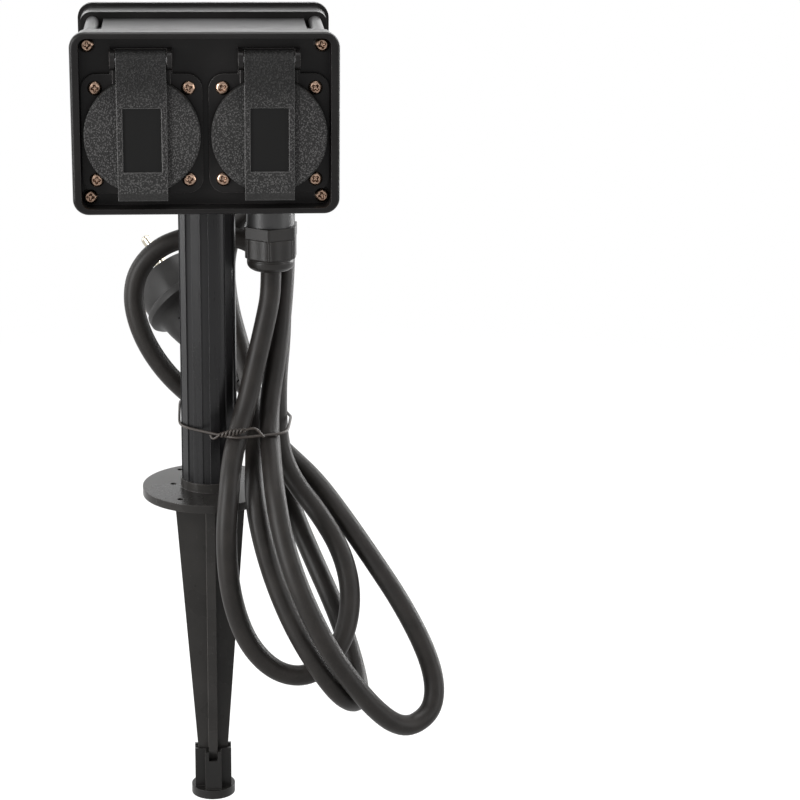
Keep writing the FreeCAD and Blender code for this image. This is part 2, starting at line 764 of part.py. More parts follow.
# Pole: a tube with raised flats all round
def pole_outline(z):
    step = 360.0 / pole_flat_count
    half = math.degrees(math.asin(pole_flat_width / 2 / pole_radius))
    low = pole_radius - pole_groove_depth

    def at(angle, radius):
        turn = math.radians(angle - 90 + pole_flat_phase)
        return Vector(radius * math.cos(turn), radius * math.sin(turn), z)

    edges = []
    for k in range(pole_flat_count):
        middle = k * step
        edges.append(Part.LineSegment(at(middle - half, pole_radius), at(middle + half, pole_radius)))
        edges.append(Part.LineSegment(at(middle + half, pole_radius), at(middle + half, low)))
        edges.append(Part.Arc(at(middle + half, low), at(middle + step / 2, low),
                              at(middle + step - half, low)))
        edges.append(Part.LineSegment(at(middle + step - half, low), at(middle + step - half, pole_radius)))
    return Part.Wire([edge.toShape() for edge in edges])


def pole():
    solid = Part.Face(pole_outline(pole_bottom)).extrude(up * pole_length)
    bore = post(0, 0, pole_radius - pole_wall, pole_bottom - 1, box_bottom + 1)
    return without(solid, [bore])


# Spike: disc, collar, stub in the pole, and four tapering vanes
def vane(slack, top, top_half, bottom_half, point_half, length, point_length):
    bottom = -length
    tip = bottom - point_length
    outline = [(top_half, top), (bottom_half, bottom), (point_half, tip), (-point_half, tip),
               (-bottom_half, bottom), (-top_half, top)]
    half = vane_thickness / 2 + slack
    return prism(outline, -half, half)


def vanes(slack):
    blade = vane(slack, 0, vane_top_width / 2 + slack, vane_bottom_width / 2 + slack,
                 spike_point_width / 2 + slack, vane_taper_length, spike_point_length + slack)
    return joined([blade, turned(blade, 90)])


def ground_spike():
    disc = post(0, 0, disc_radius, 0, disc_thickness)
    collar = post(0, 0, collar_radius, disc_thickness, pole_bottom)
    stub = post(0, 0, pole_radius - pole_wall - seat_gap, pole_bottom, pole_bottom + stub_height)
    body = joined([disc, collar, stub, vanes(0)])
    holes = [post(x, y, drain_hole_radius, -1, disc_thickness + 1) for x, y in drain_hole_places]
    return without(body, holes)


def spike_cap():
    sleeve_top = -vane_taper_length
    foot_top = sleeve_top - cap_sleeve_height
    half_arm = cap_arm_width / 2
    half_wall = vane_thickness / 2 + moving_gap + cap_wall
    arm = block(-half_arm, half_arm, foot_top, sleeve_top, -half_wall, half_wall)
    notch_half = vane_thickness / 2
    sleeve = joined([arm, turned(arm, 90), post(0, 0, cap_core_radius, foot_top, sleeve_top)])
    notches = []
    for angle in (0, 90, 180, 270):
        notch = block(half_arm - 2 * cap_wall, half_arm + 1, sleeve_top - cap_notch_depth,
                      sleeve_top + 1, -notch_half, notch_half)
        notches.append(turned(notch, angle))
    foot = post(0, 0, cap_foot_radius, foot_top - cap_foot_thickness, foot_top)
    return without(joined([sleeve, foot]), [vanes(moving_gap)] + notches)


# Wiring in the box: the tail of the cable and the three nets that feed the sockets
def supply_tail():
    return post(gland_x, 0, cable_radius, nut_mouth - 0.2, box_bottom + box_wall + tail_above_floor)


def net(runs, free_heights):
    pieces = []
    for start, end in runs:
        along = Vector(*end) - Vector(*start)
        pieces.append(Part.makeCylinder(core_radius, along.Length, Vector(*start), along))
    joints = {end for run in runs for end in run if end[2] not in free_heights}
    corner = Vector(splice_half_width, splice_half_width, splice_half_width)
    side = 2 * splice_half_width
    return joined(pieces + [Part.makeBox(side, side, side, Vector(*joint) - corner)
                            for joint in sorted(joints)])


def line_net(offset, place, height, core_x):
    tail_top = box_bottom + box_wall + tail_above_floor
    tab_end = socket_height - contact_tab_drop
    runs = [((core_x, 0, tail_top), (core_x, 0, height)),
            ((core_x, -place, height), (core_x, place, height))]
    for side in (-1, 1):
        y = side * place
        west, east = [hand * socket_spacing / 2 - side * offset for hand in (-1, 1)]
        runs.append(((west, y, height), (max(east, core_x), y, height)))
        runs.append(((west, y, height), (west, y, tab_end)))
        runs.append(((east, y, height), (east, y, tab_end)))
    return net(runs, (tail_top, tab_end))


def earth_net():
    tail_top = box_bottom + box_wall + tail_above_floor
    top = socket_height + earth_bus_rise
    pin_middle = socket_height + earth_rise
    y = core_offset
    half = socket_spacing / 2
    crossing = box_bottom + earth_cross_rise
    runs = [((gland_x, y, tail_top), (gland_x, y, crossing)),
            ((gland_x, y, crossing), (0, y, crossing)),
            ((0, y, crossing), (0, y, top)),
            ((0, -earth_bus_place, top), (0, earth_bus_place, top))]
    for side in (-1, 1):
        y = side * earth_bus_place
        runs.append(((-half, y, top), (half, y, top)))
        runs.append(((-half, y, top), (-half, y, pin_middle)))
        runs.append(((half, y, top), (half, y, pin_middle)))
    pins = [turned(earth_pin(hand), angle) for angle in sides.values() for hand in hands.values()]
    return without(net(runs, (tail_top, pin_middle)), pins)


def wires():
    live = line_net(-pin_spacing / 2, live_tab_place, box_bottom + live_bus_rise,
                    gland_x + core_offset)
    neutral = line_net(pin_spacing / 2, neutral_tab_place, box_bottom + neutral_bus_rise,
                       gland_x - core_offset)
    return [live, neutral, earth_net()]


# Cable: straight runs joined by tangent arcs
def cable_path():
    points = [Vector(*p) for p in cable_route]
    edges = []
    radii = []
    start = points[0]
    for before, here, after in zip(points, points[1:], points[2:]):
        incoming = here - before
        outgoing = after - here
        trim = tube_arc_share * min(incoming.Length, outgoing.Length)
        turn = incoming.getAngle(outgoing)
        a = Vector(incoming).normalize()
        b = Vector(outgoing).normalize()
        entry = here - a * trim
        leave = here + b * trim
        radius = trim / math.tan(turn / 2)
        middle_way = (b - a).normalize()
        middle = here + middle_way * (radius / math.cos(turn / 2) - radius)
        edges.append(Part.LineSegment(start, entry).toShape())
        edges.append(Part.Arc(entry, middle, leave).toShape())
        radii.append(radius)
        start = leave
    edges.append(Part.LineSegment(start, points[-1]).toShape())
    return Part.Wire(edges), radii


def least_gap(path):
    step = 2.0
    count = int(path.Length / step)
    points = path.discretize(Number=count)
    skip = int(math.pi * 2 * cable_radius / step) + 1
    least = path.Length
    for i, p in enumerate(points):
        for q in points[i + skip:]:
            least = min(least, p.distanceToPoint(q))
    return least - 2 * cable_radius


def cable():
    path, radii = cable_path()
    first = path.Edges[0]
    direction = first.tangentAt(first.FirstParameter)
    section = Part.Wire(Part.Circle(Vector(*cable_route[0]), direction, cable_radius).toShape())
    tube = path.makePipeShell([section], True, False)
    length = path.Length
    print("cable length", round(length, 1), "least arc radius", round(min(radii), 1))
    print("arc radii", [round(r, 1) for r in radii])
    print("volume share", round(tube.Volume / (math.pi * cable_radius ** 2 * length), 4))
    print("least gap of the cable to itself", round(least_gap(path), 2))
    return tube


# Plug: made along +Z from the cable's end, then laid along its axis
def laid(shape):
    start = Vector(*cable_route[-1])
    axis = (start - Vector(*cable_route[-2])).normalize()
    across = plug_pin_axis - axis * plug_pin_axis.dot(axis)
    across.normalize()
    third = axis.cross(across)
    matrix = FreeCAD.Matrix(across.x, third.x, axis.x, start.x,
                            across.y, third.y, axis.y, start.y,
                            across.z, third.z, axis.z, start.z, 0, 0, 0, 1)
    placed = shape.copy()
    placed.Placement = FreeCAD.Placement(matrix)
    return placed


def plug_face():
    return relief_length + grip_length + plug_guard_thickness + plug_body_length


def plug_clip_solids(slack):
    radius = plug_body_radius
    face = plug_face()
    half = plug_clip_width / 2 + slack
    clips = []
    for sign in (-1, 1):
        ends = sorted((sign * (radius - plug_clip_thickness - slack), sign * radius))
        clips.append(Part.makeBox(2 * half, ends[1] - ends[0], plug_clip_length + slack,
                                  Vector(-half, ends[0], face - plug_clip_length - slack)))
    return clips


def plug_earth_block(slack):
    w = plug_earth_half_width + slack
    h = plug_earth_half_height + slack
    face = plug_face()
    return Part.makeBox(2 * h, 2 * w, plug_earth_depth + slack,
                        Vector(-h, plug_earth_reach - w, face - plug_earth_depth - slack))


def plug_body():
    relief = post(0, 0, relief_radius, 0, relief_length + 1)
    pitch = relief_length / relief_rib_count
    ribs = [post(0, 0, relief_rib_radius, pitch * (k + 0.45), pitch * (k + 0.95))
            for k in range(relief_rib_count)]
    grip = Part.makeCone(grip_start_radius, grip_end_radius, grip_length, Vector(0, 0, relief_length), up)
    guard_bottom = relief_length + grip_length
    guard = post(0, 0, plug_guard_radius, guard_bottom, guard_bottom + plug_guard_thickness)
    guard = guard.makeFillet(plug_guard_thickness * 0.3,
                             [e for e in guard.Edges if abs(e.BoundBox.ZLength) < 0.01])
    front_body = post(0, 0, plug_body_radius, guard_bottom + 1, plug_face())
    body = joined([relief, grip, guard, front_body] + ribs)
    bores = [post(sign * pin_spacing / 2, 0, plug_pin_root_radius + thread_gap,
                  plug_face() - plug_pin_root, plug_face() + 1) for sign in (-1, 1)]
    return without(body, bores + plug_clip_solids(seat_gap) + [plug_earth_block(seat_gap)])


def plug_pins():
    pins = []
    for sign in (-1, 1):
        tip = plug_face() + pin_length
        pin = post(sign * pin_spacing / 2, 0, pin_radius, plug_face(), tip)
        ends = [e for e in pin.Edges if abs(e.BoundBox.ZMin - tip) < 0.01]
        root = post(sign * pin_spacing / 2, 0, plug_pin_root_radius, plug_face() - plug_pin_root, plug_face())
        pins.append(joined([pin.makeFillet(pin_radius * 0.8, ends), root]))
    return pins


def plug_earth_clips():
    hole = post(0, plug_earth_reach, plug_earth_hole_radius, plug_face() - plug_earth_depth + 1,
                plug_face() + 1)
    outer = post(0, 0, plug_body_radius, 0, plug_face())
    clips = [clip.common(outer) for clip in plug_clip_solids(0)]
    return clips + [without(plug_earth_block(0), [hole])]


# Wire tie: one loop pulled round the pole and the cable's strands, with its twisted end in front
tie_wraps = [(0, 0, pole_radius + 0.9), (12.5, -19, 7.2), (26.1, -12.7, 8.1), (30.3, 4.8, 5.8),
             (19, 42.5, 8.4), (-4.1, 29.3, 8.8)]


def tie_loop():
    count = len(tie_wraps)
    ends = []
    for k in range(count):
        x0, y0, r0 = tie_wraps[k]
        x1, y1, r1 = tie_wraps[(k + 1) % count]
        along = Vector(x1 - x0, y1 - y0, 0)
        lean = math.asin((r0 - r1) / along.Length)
        heading = math.atan2(along.y, along.x) - math.pi / 2 + lean
        side = Vector(math.cos(heading), math.sin(heading), 0)
        ends.append((Vector(x0, y0, tie_height) + side * r0, Vector(x1, y1, tie_height) + side * r1))
    edges = []
    for k in range(count):
        x, y, r = tie_wraps[k]
        arrive = ends[k - 1][1]
        leave = ends[k][0]
        centre = Vector(x, y, tie_height)
        middle = ((arrive - centre) + (leave - centre)).normalize() * r + centre
        edges.append(Part.Arc(arrive, middle, leave).toShape())
        edges.append(Part.LineSegment(ends[k][0], ends[k][1]).toShape())
    return Part.Wire(edges)


def twist_tie():
    path = tie_loop()
    first = path.Edges[0]
    start = first.valueAt(first.FirstParameter)
    heading = first.tangentAt(first.FirstParameter)
    section = Part.Wire(Part.Circle(start, heading, tie_wire_radius).toShape())
    return path.makePipeShell([section], True, False)


def build():
    os.makedirs("parts", exist_ok=True)
    save("junction_box", junction_box())
    for side, angle in sides.items():
        save(side + "_frame", turned(frame(), angle))
        save(side + "_frame_gasket", turned(frame_gasket(), angle))
        save(side + "_frame_screws", [turned(s, angle) for s in frame_screws()])
        save("flange_seals_" + side, [turned(flange_seal(hand), angle) for hand in hands.values()])
        save("flange_screws_" + side, [turned(s, angle) for s in flange_screws()])
        save("socket_faces_" + side, [turned(socket_face(hand), angle) for hand in hands.values()])
        save("guide_plates_" + side, [turned(guide_plate(hand), angle) for hand in hands.values()])
        save("contact_blocks_" + side,
             [turned(c, angle) for hand in hands.values() for c in contact_block(hand)])
        save("contacts_" + side, [turned(c, angle) for hand in hands.values() for c in contacts(hand)])
        save("earth_pins_" + side, [turned(earth_pin(hand), angle) for hand in hands.values()])
        save("centre_screws_" + side, [turned(centre_screw(hand), angle) for hand in hands.values()])
        for name, hand in hands.items():
            place = "_" + side + "_" + name
            save("base" + place, turned(socket_base(hand), angle))
            save("shutter" + place, turned(shutter(hand), angle))
            save("lid" + place, turned(lid(hand), angle))
            save("lid_seal" + place, turned(lid_seal(hand), angle))
            save("hinge_pin" + place, turned(hinge_pin(hand), angle))
            save("lid_spring" + place, turned(lid_spring(hand), angle))
    save("gland_body", gland_body())
    save("gland_seal", gland_seal())
    save("gland_nut", gland_nut())
    save("pole", pole())
    save("ground_spike", ground_spike())
    save("spike_cap", spike_cap())
    save("supply_tail", supply_tail())
    save("wires", wires())
    save("cable", cable())
    save("plug_body", laid(plug_body()))
    save("plug_pins", [laid(pin) for pin in plug_pins()])
    save("plug_earth_clips", [laid(clip) for clip in plug_earth_clips()])
    save("twist_tie", twist_tie())


build()
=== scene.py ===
"""Dresses the garden socket post: cable, plug, tie, screws, gland, finishes and the studio round them."""
import math

import bmesh
import bpy
from bpy.props import FloatProperty, FloatVectorProperty, IntProperty, PointerProperty
from mathutils import Matrix, Vector


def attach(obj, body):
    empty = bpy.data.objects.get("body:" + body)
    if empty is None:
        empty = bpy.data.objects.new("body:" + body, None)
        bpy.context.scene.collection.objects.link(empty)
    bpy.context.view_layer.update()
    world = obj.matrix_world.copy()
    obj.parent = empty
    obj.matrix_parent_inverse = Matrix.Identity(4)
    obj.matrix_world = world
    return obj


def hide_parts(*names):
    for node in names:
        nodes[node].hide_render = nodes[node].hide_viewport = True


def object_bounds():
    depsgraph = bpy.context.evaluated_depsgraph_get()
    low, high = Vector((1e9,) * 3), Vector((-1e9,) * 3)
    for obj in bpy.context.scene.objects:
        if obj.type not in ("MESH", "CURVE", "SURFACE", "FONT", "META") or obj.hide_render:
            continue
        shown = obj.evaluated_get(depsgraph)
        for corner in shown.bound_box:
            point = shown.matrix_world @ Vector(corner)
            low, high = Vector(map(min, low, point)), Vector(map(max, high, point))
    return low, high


bl_info = {
    "name": "Garden Socket Post",
    "version": (1, 0, 0),
    "blender": (4, 5, 0),
    "location": "View3D > Sidebar > Garden Socket",
    "description": "Cable, plug, tie, screws, gland and finishes for a garden socket post",
    "category": "Object",
}

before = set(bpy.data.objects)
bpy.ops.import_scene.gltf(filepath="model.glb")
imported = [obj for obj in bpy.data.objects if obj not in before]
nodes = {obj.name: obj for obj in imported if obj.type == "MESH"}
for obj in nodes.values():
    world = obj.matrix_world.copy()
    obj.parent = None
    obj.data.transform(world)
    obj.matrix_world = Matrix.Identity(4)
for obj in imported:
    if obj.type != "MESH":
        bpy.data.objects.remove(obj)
cad_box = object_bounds()

MM = 0.001
SIDES = ("front", "rear")
PLACES = [side + "_" + hand for side in SIDES for hand in ("left", "right")]

# Lengths below are in millimetres where nothing else is said, in the frame of the solids: x to the right,
# y to the rear and z up

# Control points of the cable, from the gland to the plug
CABLE_ROUTE = [
    (27.6, 0, 101.4), (27.6, 0, 91.5), (25.5, -3.5, 81.5), (21, -7.5, 63.5), (16.5, -12, 45),
    (12.5, -18.5, 33), (9.5, -28, 23.5), (8, -36.5, 12), (6.5, -42, -4), (7, -44.5, -22.5),
    (10, -46.5, -39.5), (16, -48.5, -54.5), (26.5, -49.5, -66), (39, -49.5, -69.5),
    (50.5, -47.5, -64), (58.5, -42, -52), (61.5, -31, -37.5), (58, -20, -22.5), (48.5, -9.5, -8),
    (37, -0.5, 4.5), (30.5, 3, 20.5), (30, 7, 48), (32.5, 16.5, 67), (33, 26, 84),
    (29, 32.5, 97), (19.5, 36.5, 106), (5, 38, 108.5), (-9, 38.5, 107.5), (-22, 38, 102.5),
    (-31, 37, 92.5), (-33.5, 35.5, 80), (-30.5, 33.5, 66), (-23.5, 31.5, 52.5),
    (-13.5, 30, 40.5), (-1, 29, 30.5), (11.5, 28, 24), (23.5, 23, 21.5), (34.5, 15.5, 12.5),
    (47, 7.5, 2.5), (58, -5, -9.5), (71, -18, -26), (84, -29, -44), (94.5, -38.5, -63.5),
    (98, -44.5, -78), (95, -50, -88), (83.5, -56.5, -92), (70, -62.5, -80.5), (51.5, -66.5, -54),
    (39, -62, -29), (31, -52, -7), (27.5, -39.5, 12.5), (26.5, -23, 25), (26, -10.5, 34),
    (27, -3, 46), (30, 2.5, 62), (32.5, 9.5, 78.5), (34.5, 19.5, 99.5), (34.5, 27, 112.5),
    (29.5, 36, 120.5), (20, 45.5, 119), (12, 51.5, 108.5), (8, 54, 92), (9.5, 51, 73),
    (14.5, 41.5, 55.5), (19, 27, 42.5), (20.5, 9.5, 33), (20, -13, 18), (19, -33, 8),
    (22, -39.5, -9), (27.5, -45, -27.5), (35.5, -52.5, -45.5), (45.5, -59, -61.5),
    (55.5, -61, -74.5), (63.5, -49, -82.5), (64.5, -37, -78.5), (60.5, -25, -64),
    (54.5, -13, -49.5), (46, -1, -32.5), (38.5, 12, -17), (33.5, 22, -4), (32, 30, 12.5),
    (22.7, 38.4, 28.2), (14.5, 47.5, 38.5),
]

# The wire tie: its height on the pole, its loop round the pole and the strands as (x, y), the two ends of
# its twist, its loose tails, its turns, and how far its two wires lie from the twist's middle at its ends
# and how much further half-way
TIE_HEIGHT = 33
TIE_LOOP = [
    (-13.2, 0.1), (-12.2, -5.2), (-8.9, -9.9), (-1.5, -16.5), (5.0, -22.3), (7.7, -24.4), (10.0, -25.8),
    (12.6, -26.3), (15.1, -25.7), (22.0, -23.1), (29.1, -20.3), (31.6, -18.8), (33.4, -16.4),
    (34.3, -13.6), (35.3, -5.0), (36.2, 4.2), (36.2, 5.3), (36.0, 6.4), (31.6, 25.4), (27.3, 44.4),
    (25.6, 47.9), (22.4, 50.3), (18.7, 51.0), (14.9, 50.0), (3.2, 43.5), (-8.4, 37.1),
    (-10.8, 35.1), (-12.4, 32.4), (-13.0, 29.4), (-13.1, 14.8),
]
TIE_TWIST = ((4.2, -23.0, 33.4), (15.4, -27.6, 37.0))
TIE_TAILS = [
    [(15.4, -27.6, 37.0), (18.5, -27.4, 38.2), (21.0, -26.4, 36.6), (23.4, -25.6, 33.2)],
    [(4.2, -23.0, 33.4), (2.2, -22.6, 31.6), (0.8, -21.9, 31.9), (0.4, -21.4, 33.2)],
]
TIE_TURNS = 3.5
TIE_PAIR = (0.62, 0.5)

# The sockets' places to the left and right of the middle, and the heights of the sockets and the frames
SOCKET_ASIDE = 26
SOCKET_HEIGHT = 168.7
FRAME_HEIGHT = 173.7

# Screws on the front as (x, z); the rear has the same, turned round
CENTRE_PLACES = [(x, SOCKET_HEIGHT) for x in (-SOCKET_ASIDE, SOCKET_ASIDE)]
FLANGE_PLACES = [(x + dx, z + dz) for x, z in CENTRE_PLACES for dx in (-19, 19) for dz in (-19, 19)]
FRAME_PLACES = [(x, FRAME_HEIGHT + dz) for x in (-47.8, 47.8) for dz in (-31.4, 31.4)]

# Each kind of screw: its nodes, head radius, head height, length under the head, distance of the face
# that it sits on from the middle, and places
SCREWS = [
    ("%s_frame_screws", 2.95, 1.7, 24.0, 37.5, FRAME_PLACES),
    ("flange_screws_%s", 2.95, 1.3, 9.0, 39.4, FLANGE_PLACES),
    ("centre_screws_%s", 2.65, 1.1, 14.0, 21.9, CENTRE_PLACES),
]
SCREW_SHANK = 1.6

# A lid's smooth places: the sunk window's half width and half height, and its middle; the finger tab's
# top; how far from the post's middle the lid's inside ends
WINDOW_HALF = (7.9, 13.2)
WINDOW_HEIGHT = 167.2
TAB_TOP = 144.9
LID_INSIDE = 43.3

# The heights between which a painted shade darkens a lid's strap upwards
STRAP_PAINTED_SHADE = (176, 192)

# Lamps: place, and width and height, in metres, and power in watts
LAMPS = [
    ("key", (-1.0, -1.2, 0.9), (0.7, 0.7), 5.0),
    ("strip_left", (-0.86, -0.54, 0.30), (0.20, 0.86), 14.0),
    ("strip_right", (1.3, -0.6, 0.38), (0.3, 1.2), 9.0),
    ("rear_key", (1.0, 1.2, 0.9), (0.7, 0.7), 5.0),
    ("rear_strip_left", (-1.3, 0.6, 0.38), (0.3, 1.2), 9.0),
    ("rear_strip_right", (0.86, 0.54, 0.30), (0.20, 0.86), 11.0),
    ("overhead", (0.1, 0.1, 1.7), (1.2, 1.2), 32.0),
    ("back_strip", (0.05, 1.45, 0.35), (1.9, 0.16), 3.0),
    ("front_strip", (0.05, -1.45, 0.35), (1.9, 0.16), 2.0),
]

# What the lamps point at, in metres
LAMP_TARGET = Vector((0.02, 0, 0.06))

# The camera's place in metres, its turns in radians, in their order, and its lens and sensor
CAMERA_PLACE = (-0.004626, -1.061144, 0.361750)
CAMERA_TURNS = ((-0.083786, "Z"), (-0.292263, "X"), (-0.010555, "Y"))
CAMERA_LENS = 112.884
CAMERA_SENSOR = 36.0

# Half the floor's width in metres, and the room that the floor leaves under the post at rest, for the cap
# to slide down off the spike's point
FLOOR_HALF = 6.0
CAP_TRAVEL = 30.5

# The floor: the squared distances in metres between which it turns all white, the share of white near the
# post, and the share of its colour that lights the post; then the strength of the world's light on the post
FLOOR_FADE = (0.03, 0.9)
FLOOR_GLOW = 0.76
FLOOR_RETURN = 0.45
WORLD_LIGHT = 0.30

# The plug, made along Z from its cable's end: the grip's profile as (radius, height) up to the guard rim,
# the grooves as (low, high, half width) and their margin and depth, the ends of the grip's oval part,
# where the flats start, the height of the front, the way from pin to pin, and a pin collar's two radii
PLUG_GRIP = [(0, 18.6), (7.4, 18.6), (9.2, 19.4), (10.4, 21.2), (11.4, 24.0), (12.0, 26.0), (12.2, 27.0),
             (12.8, 29.4), (13.05, 30.4), (13.6, 32.8), (13.8, 33.8), (14.4, 36.2), (14.65, 37.2),
             (15.3, 40.0), (16.2, 42.2), (17.8, 43.5)]
PLUG_GROOVES = [(26.0, 27.0, 7.4), (29.4, 30.4, 9.2), (32.8, 33.8, 9.6), (36.2, 37.2, 8.6)]
GROOVE_CUT = (0.22, 0.75)
PLUG_OVAL = (20.0, 44.0)
PLUG_FLATS = 50.5
PLUG_FACE = 62.5
PLUG_PINS_ALONG = Vector((0.15, 0.79, -0.59))
PIN_COLLAR = (2.55, 3.3)

# The plug's keyways on the sides with the pins: how deep, how wide to each side, and where they start
KEYWAY = (0.5, 4, 49.5)

# The earth contact in the plug's front: its hole's place and radius, its outline, and how far it reaches
# under and over the front; then the strip on each flat: its outline, its place and its thickness
EARTH_HOLE = (10.0, 2.35)
EARTH_CONTACT = [(-4.0, 6.9), (-4.0, 8.6), (-3.0, 8.6), (-3.0, 11.6), (-4.0, 11.6), (-4.0, 13.2),
                 (4.0, 13.2), (4.0, 11.6), (3.0, 11.6), (3.0, 8.6), (4.0, 8.6), (4.0, 6.9)]
EARTH_SPAN = (0.6, 0.14)
EARTH_STRIP = [(-2.5, 0.0), (-2.5, 8.4), (-1.9, 9.0), (1.9, 9.0), (2.5, 8.4), (2.5, 0.0)]
STRIP_REACH = 18.4
STRIP_THICK = 0.9

# The strain relief's profile, its slits as (low edge, quarter turn), and their height, margin and depth
RELIEF = [(0, -2.6), (4.75, -2.6), (5.4, -2.2), (5.55, -1.2), (5.45, -0.3), (5.9, 0.0), (6.1, 1.0),
          (5.8, 1.8), (5.95, 2.6), (6.1, 4.0), (6.25, 5.6), (6.4, 7.2), (6.55, 8.8), (6.7, 10.4),
          (6.85, 12.0), (7.0, 13.6), (7.15, 15.2), (7.3, 16.6), (7.6, 18.2), (7.9, 19.6), (0, 19.6)]
RELIEF_SLITS = [(2.6, 0), (5.6, 0), (8.8, 0), (12.0, 0), (4.0, 1), (7.2, 1), (10.4, 1), (13.6, 1)]
SLIT_HEIGHT = 1.55
SLIT_CUT = (0.2, 1.15)

# The gland: its place, its turn, and its two profiles as (radius, height) before their sides are shaped;
# the radius beyond which they are; the hexagon's half width over the flats and over the corners; the
# nut's mean radius, the wave of its corners and the height of its ribs; and in degrees the ribs' step and
# how far they reach from a corner
GLAND_X = 27.6
GLAND_TURN = math.radians(-96)
GLAND_BODY = [(5.0, 110.0), (8.0, 110.0), (8.0, 116.4), (11.6, 116.4), (12.3, 116.9), (12.3, 121.0),
              (11.6, 121.5), (8.2, 121.5), (8.2, 134.4), (5.0, 134.4)]
GLAND_NUT = [(5.0, 101.7), (7.0, 101.6), (8.3, 101.9), (9.4, 102.6), (10.1, 103.5), (10.4, 104.6),
             (10.4, 106.0), (10.1, 106.5), (10.1, 106.9), (10.6, 107.2), (11.4, 107.7), (11.8, 108.6),
             (11.8, 109.0), (11.9, 115.4), (11.9, 115.8), (11.5, 116.2), (8.2, 116.2), (8.2, 109.6),
             (5.0, 107.0)]
GLAND_SIDE = 10.5
HEXAGON_HALF = (11.0, 12.45)
NUT_SIDE = (11.35, 0.45, 0.22)
NUT_RIBS = (4.5, 6.5)


class SocketPostSizes(bpy.types.PropertyGroup):
    """Sizes of the pieces that are made here."""

    cable_diameter: FloatProperty(name="Cable diameter", default=9.0 * MM, min=4.0 * MM, unit="LENGTH",
                                  description="Outside of the supply cable's rubber sheath")
    cable_length: FloatProperty(name="Cable length", default=1.45, min=0.5, unit="LENGTH",
                                description="From the gland to the plug's strain relief")
    tie_wire: FloatProperty(name="Tie wire", default=1.2 * MM, min=0.4 * MM, unit="LENGTH",
                            description="Thickness of the wire that ties the cable to the pole")
    plug_pin_spacing: FloatProperty(name="Plug pin spacing", default=19.0 * MM, unit="LENGTH",
                                    description="Between the middles of the plug's two pins")
    guard_radius: FloatProperty(name="Plug guard radius", default=20.0 * MM, unit="LENGTH",
                                description="Outside of the rim between the plug's grip and its front")
    front_radius: FloatProperty(name="Plug front radius", default=18.4 * MM, unit="LENGTH",
                                description="Outside of the part of the plug that enters a socket")
    flat_depth: FloatProperty(name="Plug flat depth", default=0.35 * MM, unit="LENGTH",
                              description="How far the two flats with the earth strips are set in")
    pebble: FloatProperty(name="Lid pebble size", default=0.72 * MM, unit="LENGTH",
                          description="Size of the raised grains moulded into the lids")
    soft_edge: FloatProperty(name="Moulded edge radius", default=0.4 * MM, unit="LENGTH",
                             description="Rounding seen along the edges of the plastic pieces")
    head_segments: IntProperty(name="Screw head segments", default=40, min=12, max=96,
                               description="Steps round each screw head")


class SocketPostColours(bpy.types.PropertyGroup):
    """Colours of the finishes, as linear values."""

    frames: FloatVectorProperty(name="Frames", subtype="COLOR", size=3, default=(0.0068, 0.0062, 0.0061),
                                description="Satin black plastic of the two frames and the sockets")
    box: FloatVectorProperty(name="Box", subtype="COLOR", size=3, default=(0.0150, 0.0146, 0.0148),
                             description="Fine-grained plastic of the box in the middle")
    lids: FloatVectorProperty(name="Lids", subtype="COLOR", size=3, default=(0.0235, 0.0230, 0.0226),
                              description="Pebbled plastic of the lids")
    pole: FloatVectorProperty(name="Pole", subtype="COLOR", size=3, default=(0.0088, 0.0086, 0.0090),
                              description="Half-gloss plastic of the ribbed pole")
    spike: FloatVectorProperty(name="Spike", subtype="COLOR", size=3, default=(0.0225, 0.0212, 0.0200),
                               description="Glossy plastic of the disc, spike and cap")
    cable: FloatVectorProperty(name="Cable", subtype="COLOR", size=3, default=(0.0110, 0.0095, 0.0085),
                               description="Dull rubber of the cable's sheath")
    plug: FloatVectorProperty(name="Plug", subtype="COLOR", size=3, default=(0.0095, 0.0090, 0.0087),
                              description="Rubber of the plug")
    nickel: FloatVectorProperty(name="Screws", subtype="COLOR", size=3, default=(0.30, 0.205, 0.152),
                                description="Plating of the screws")
    pins: FloatVectorProperty(name="Pins", subtype="COLOR", size=3, default=(0.50, 0.46, 0.38),
                              description="Plating of the plug's pins and its earth plates")
    brass: FloatVectorProperty(name="Brass", subtype="COLOR", size=3, default=(0.78, 0.62, 0.36),
                               description="Contacts inside the sockets")
    cores: FloatVectorProperty(name="Cores", subtype="COLOR", size=3, default=(0.30, 0.09, 0.03),
                               description="Insulation of the wires in the box")
    steel: FloatVectorProperty(name="Steel", subtype="COLOR", size=3, default=(0.42, 0.42, 0.43),
                               description="Hinge pins and lid springs")
    shutters: FloatVectorProperty(name="Shutters", subtype="COLOR", size=3, default=(0.010, 0.085, 0.070),
                                  description="Plates behind the pin holes")
    seals: FloatVectorProperty(name="Lid seals", subtype="COLOR", size=3, default=(0.86, 0.87, 0.88),
                               description="Light seal inside each lid")
    wire: FloatVectorProperty(name="Tie wire", subtype="COLOR", size=3, default=(0.030, 0.024, 0.020),
                              description="Coated wire of the tie")
    floor: FloatVectorProperty(name="Floor", subtype="COLOR", size=3, default=(0.90, 0.90, 0.90),
                               description="Plain floor under the post")


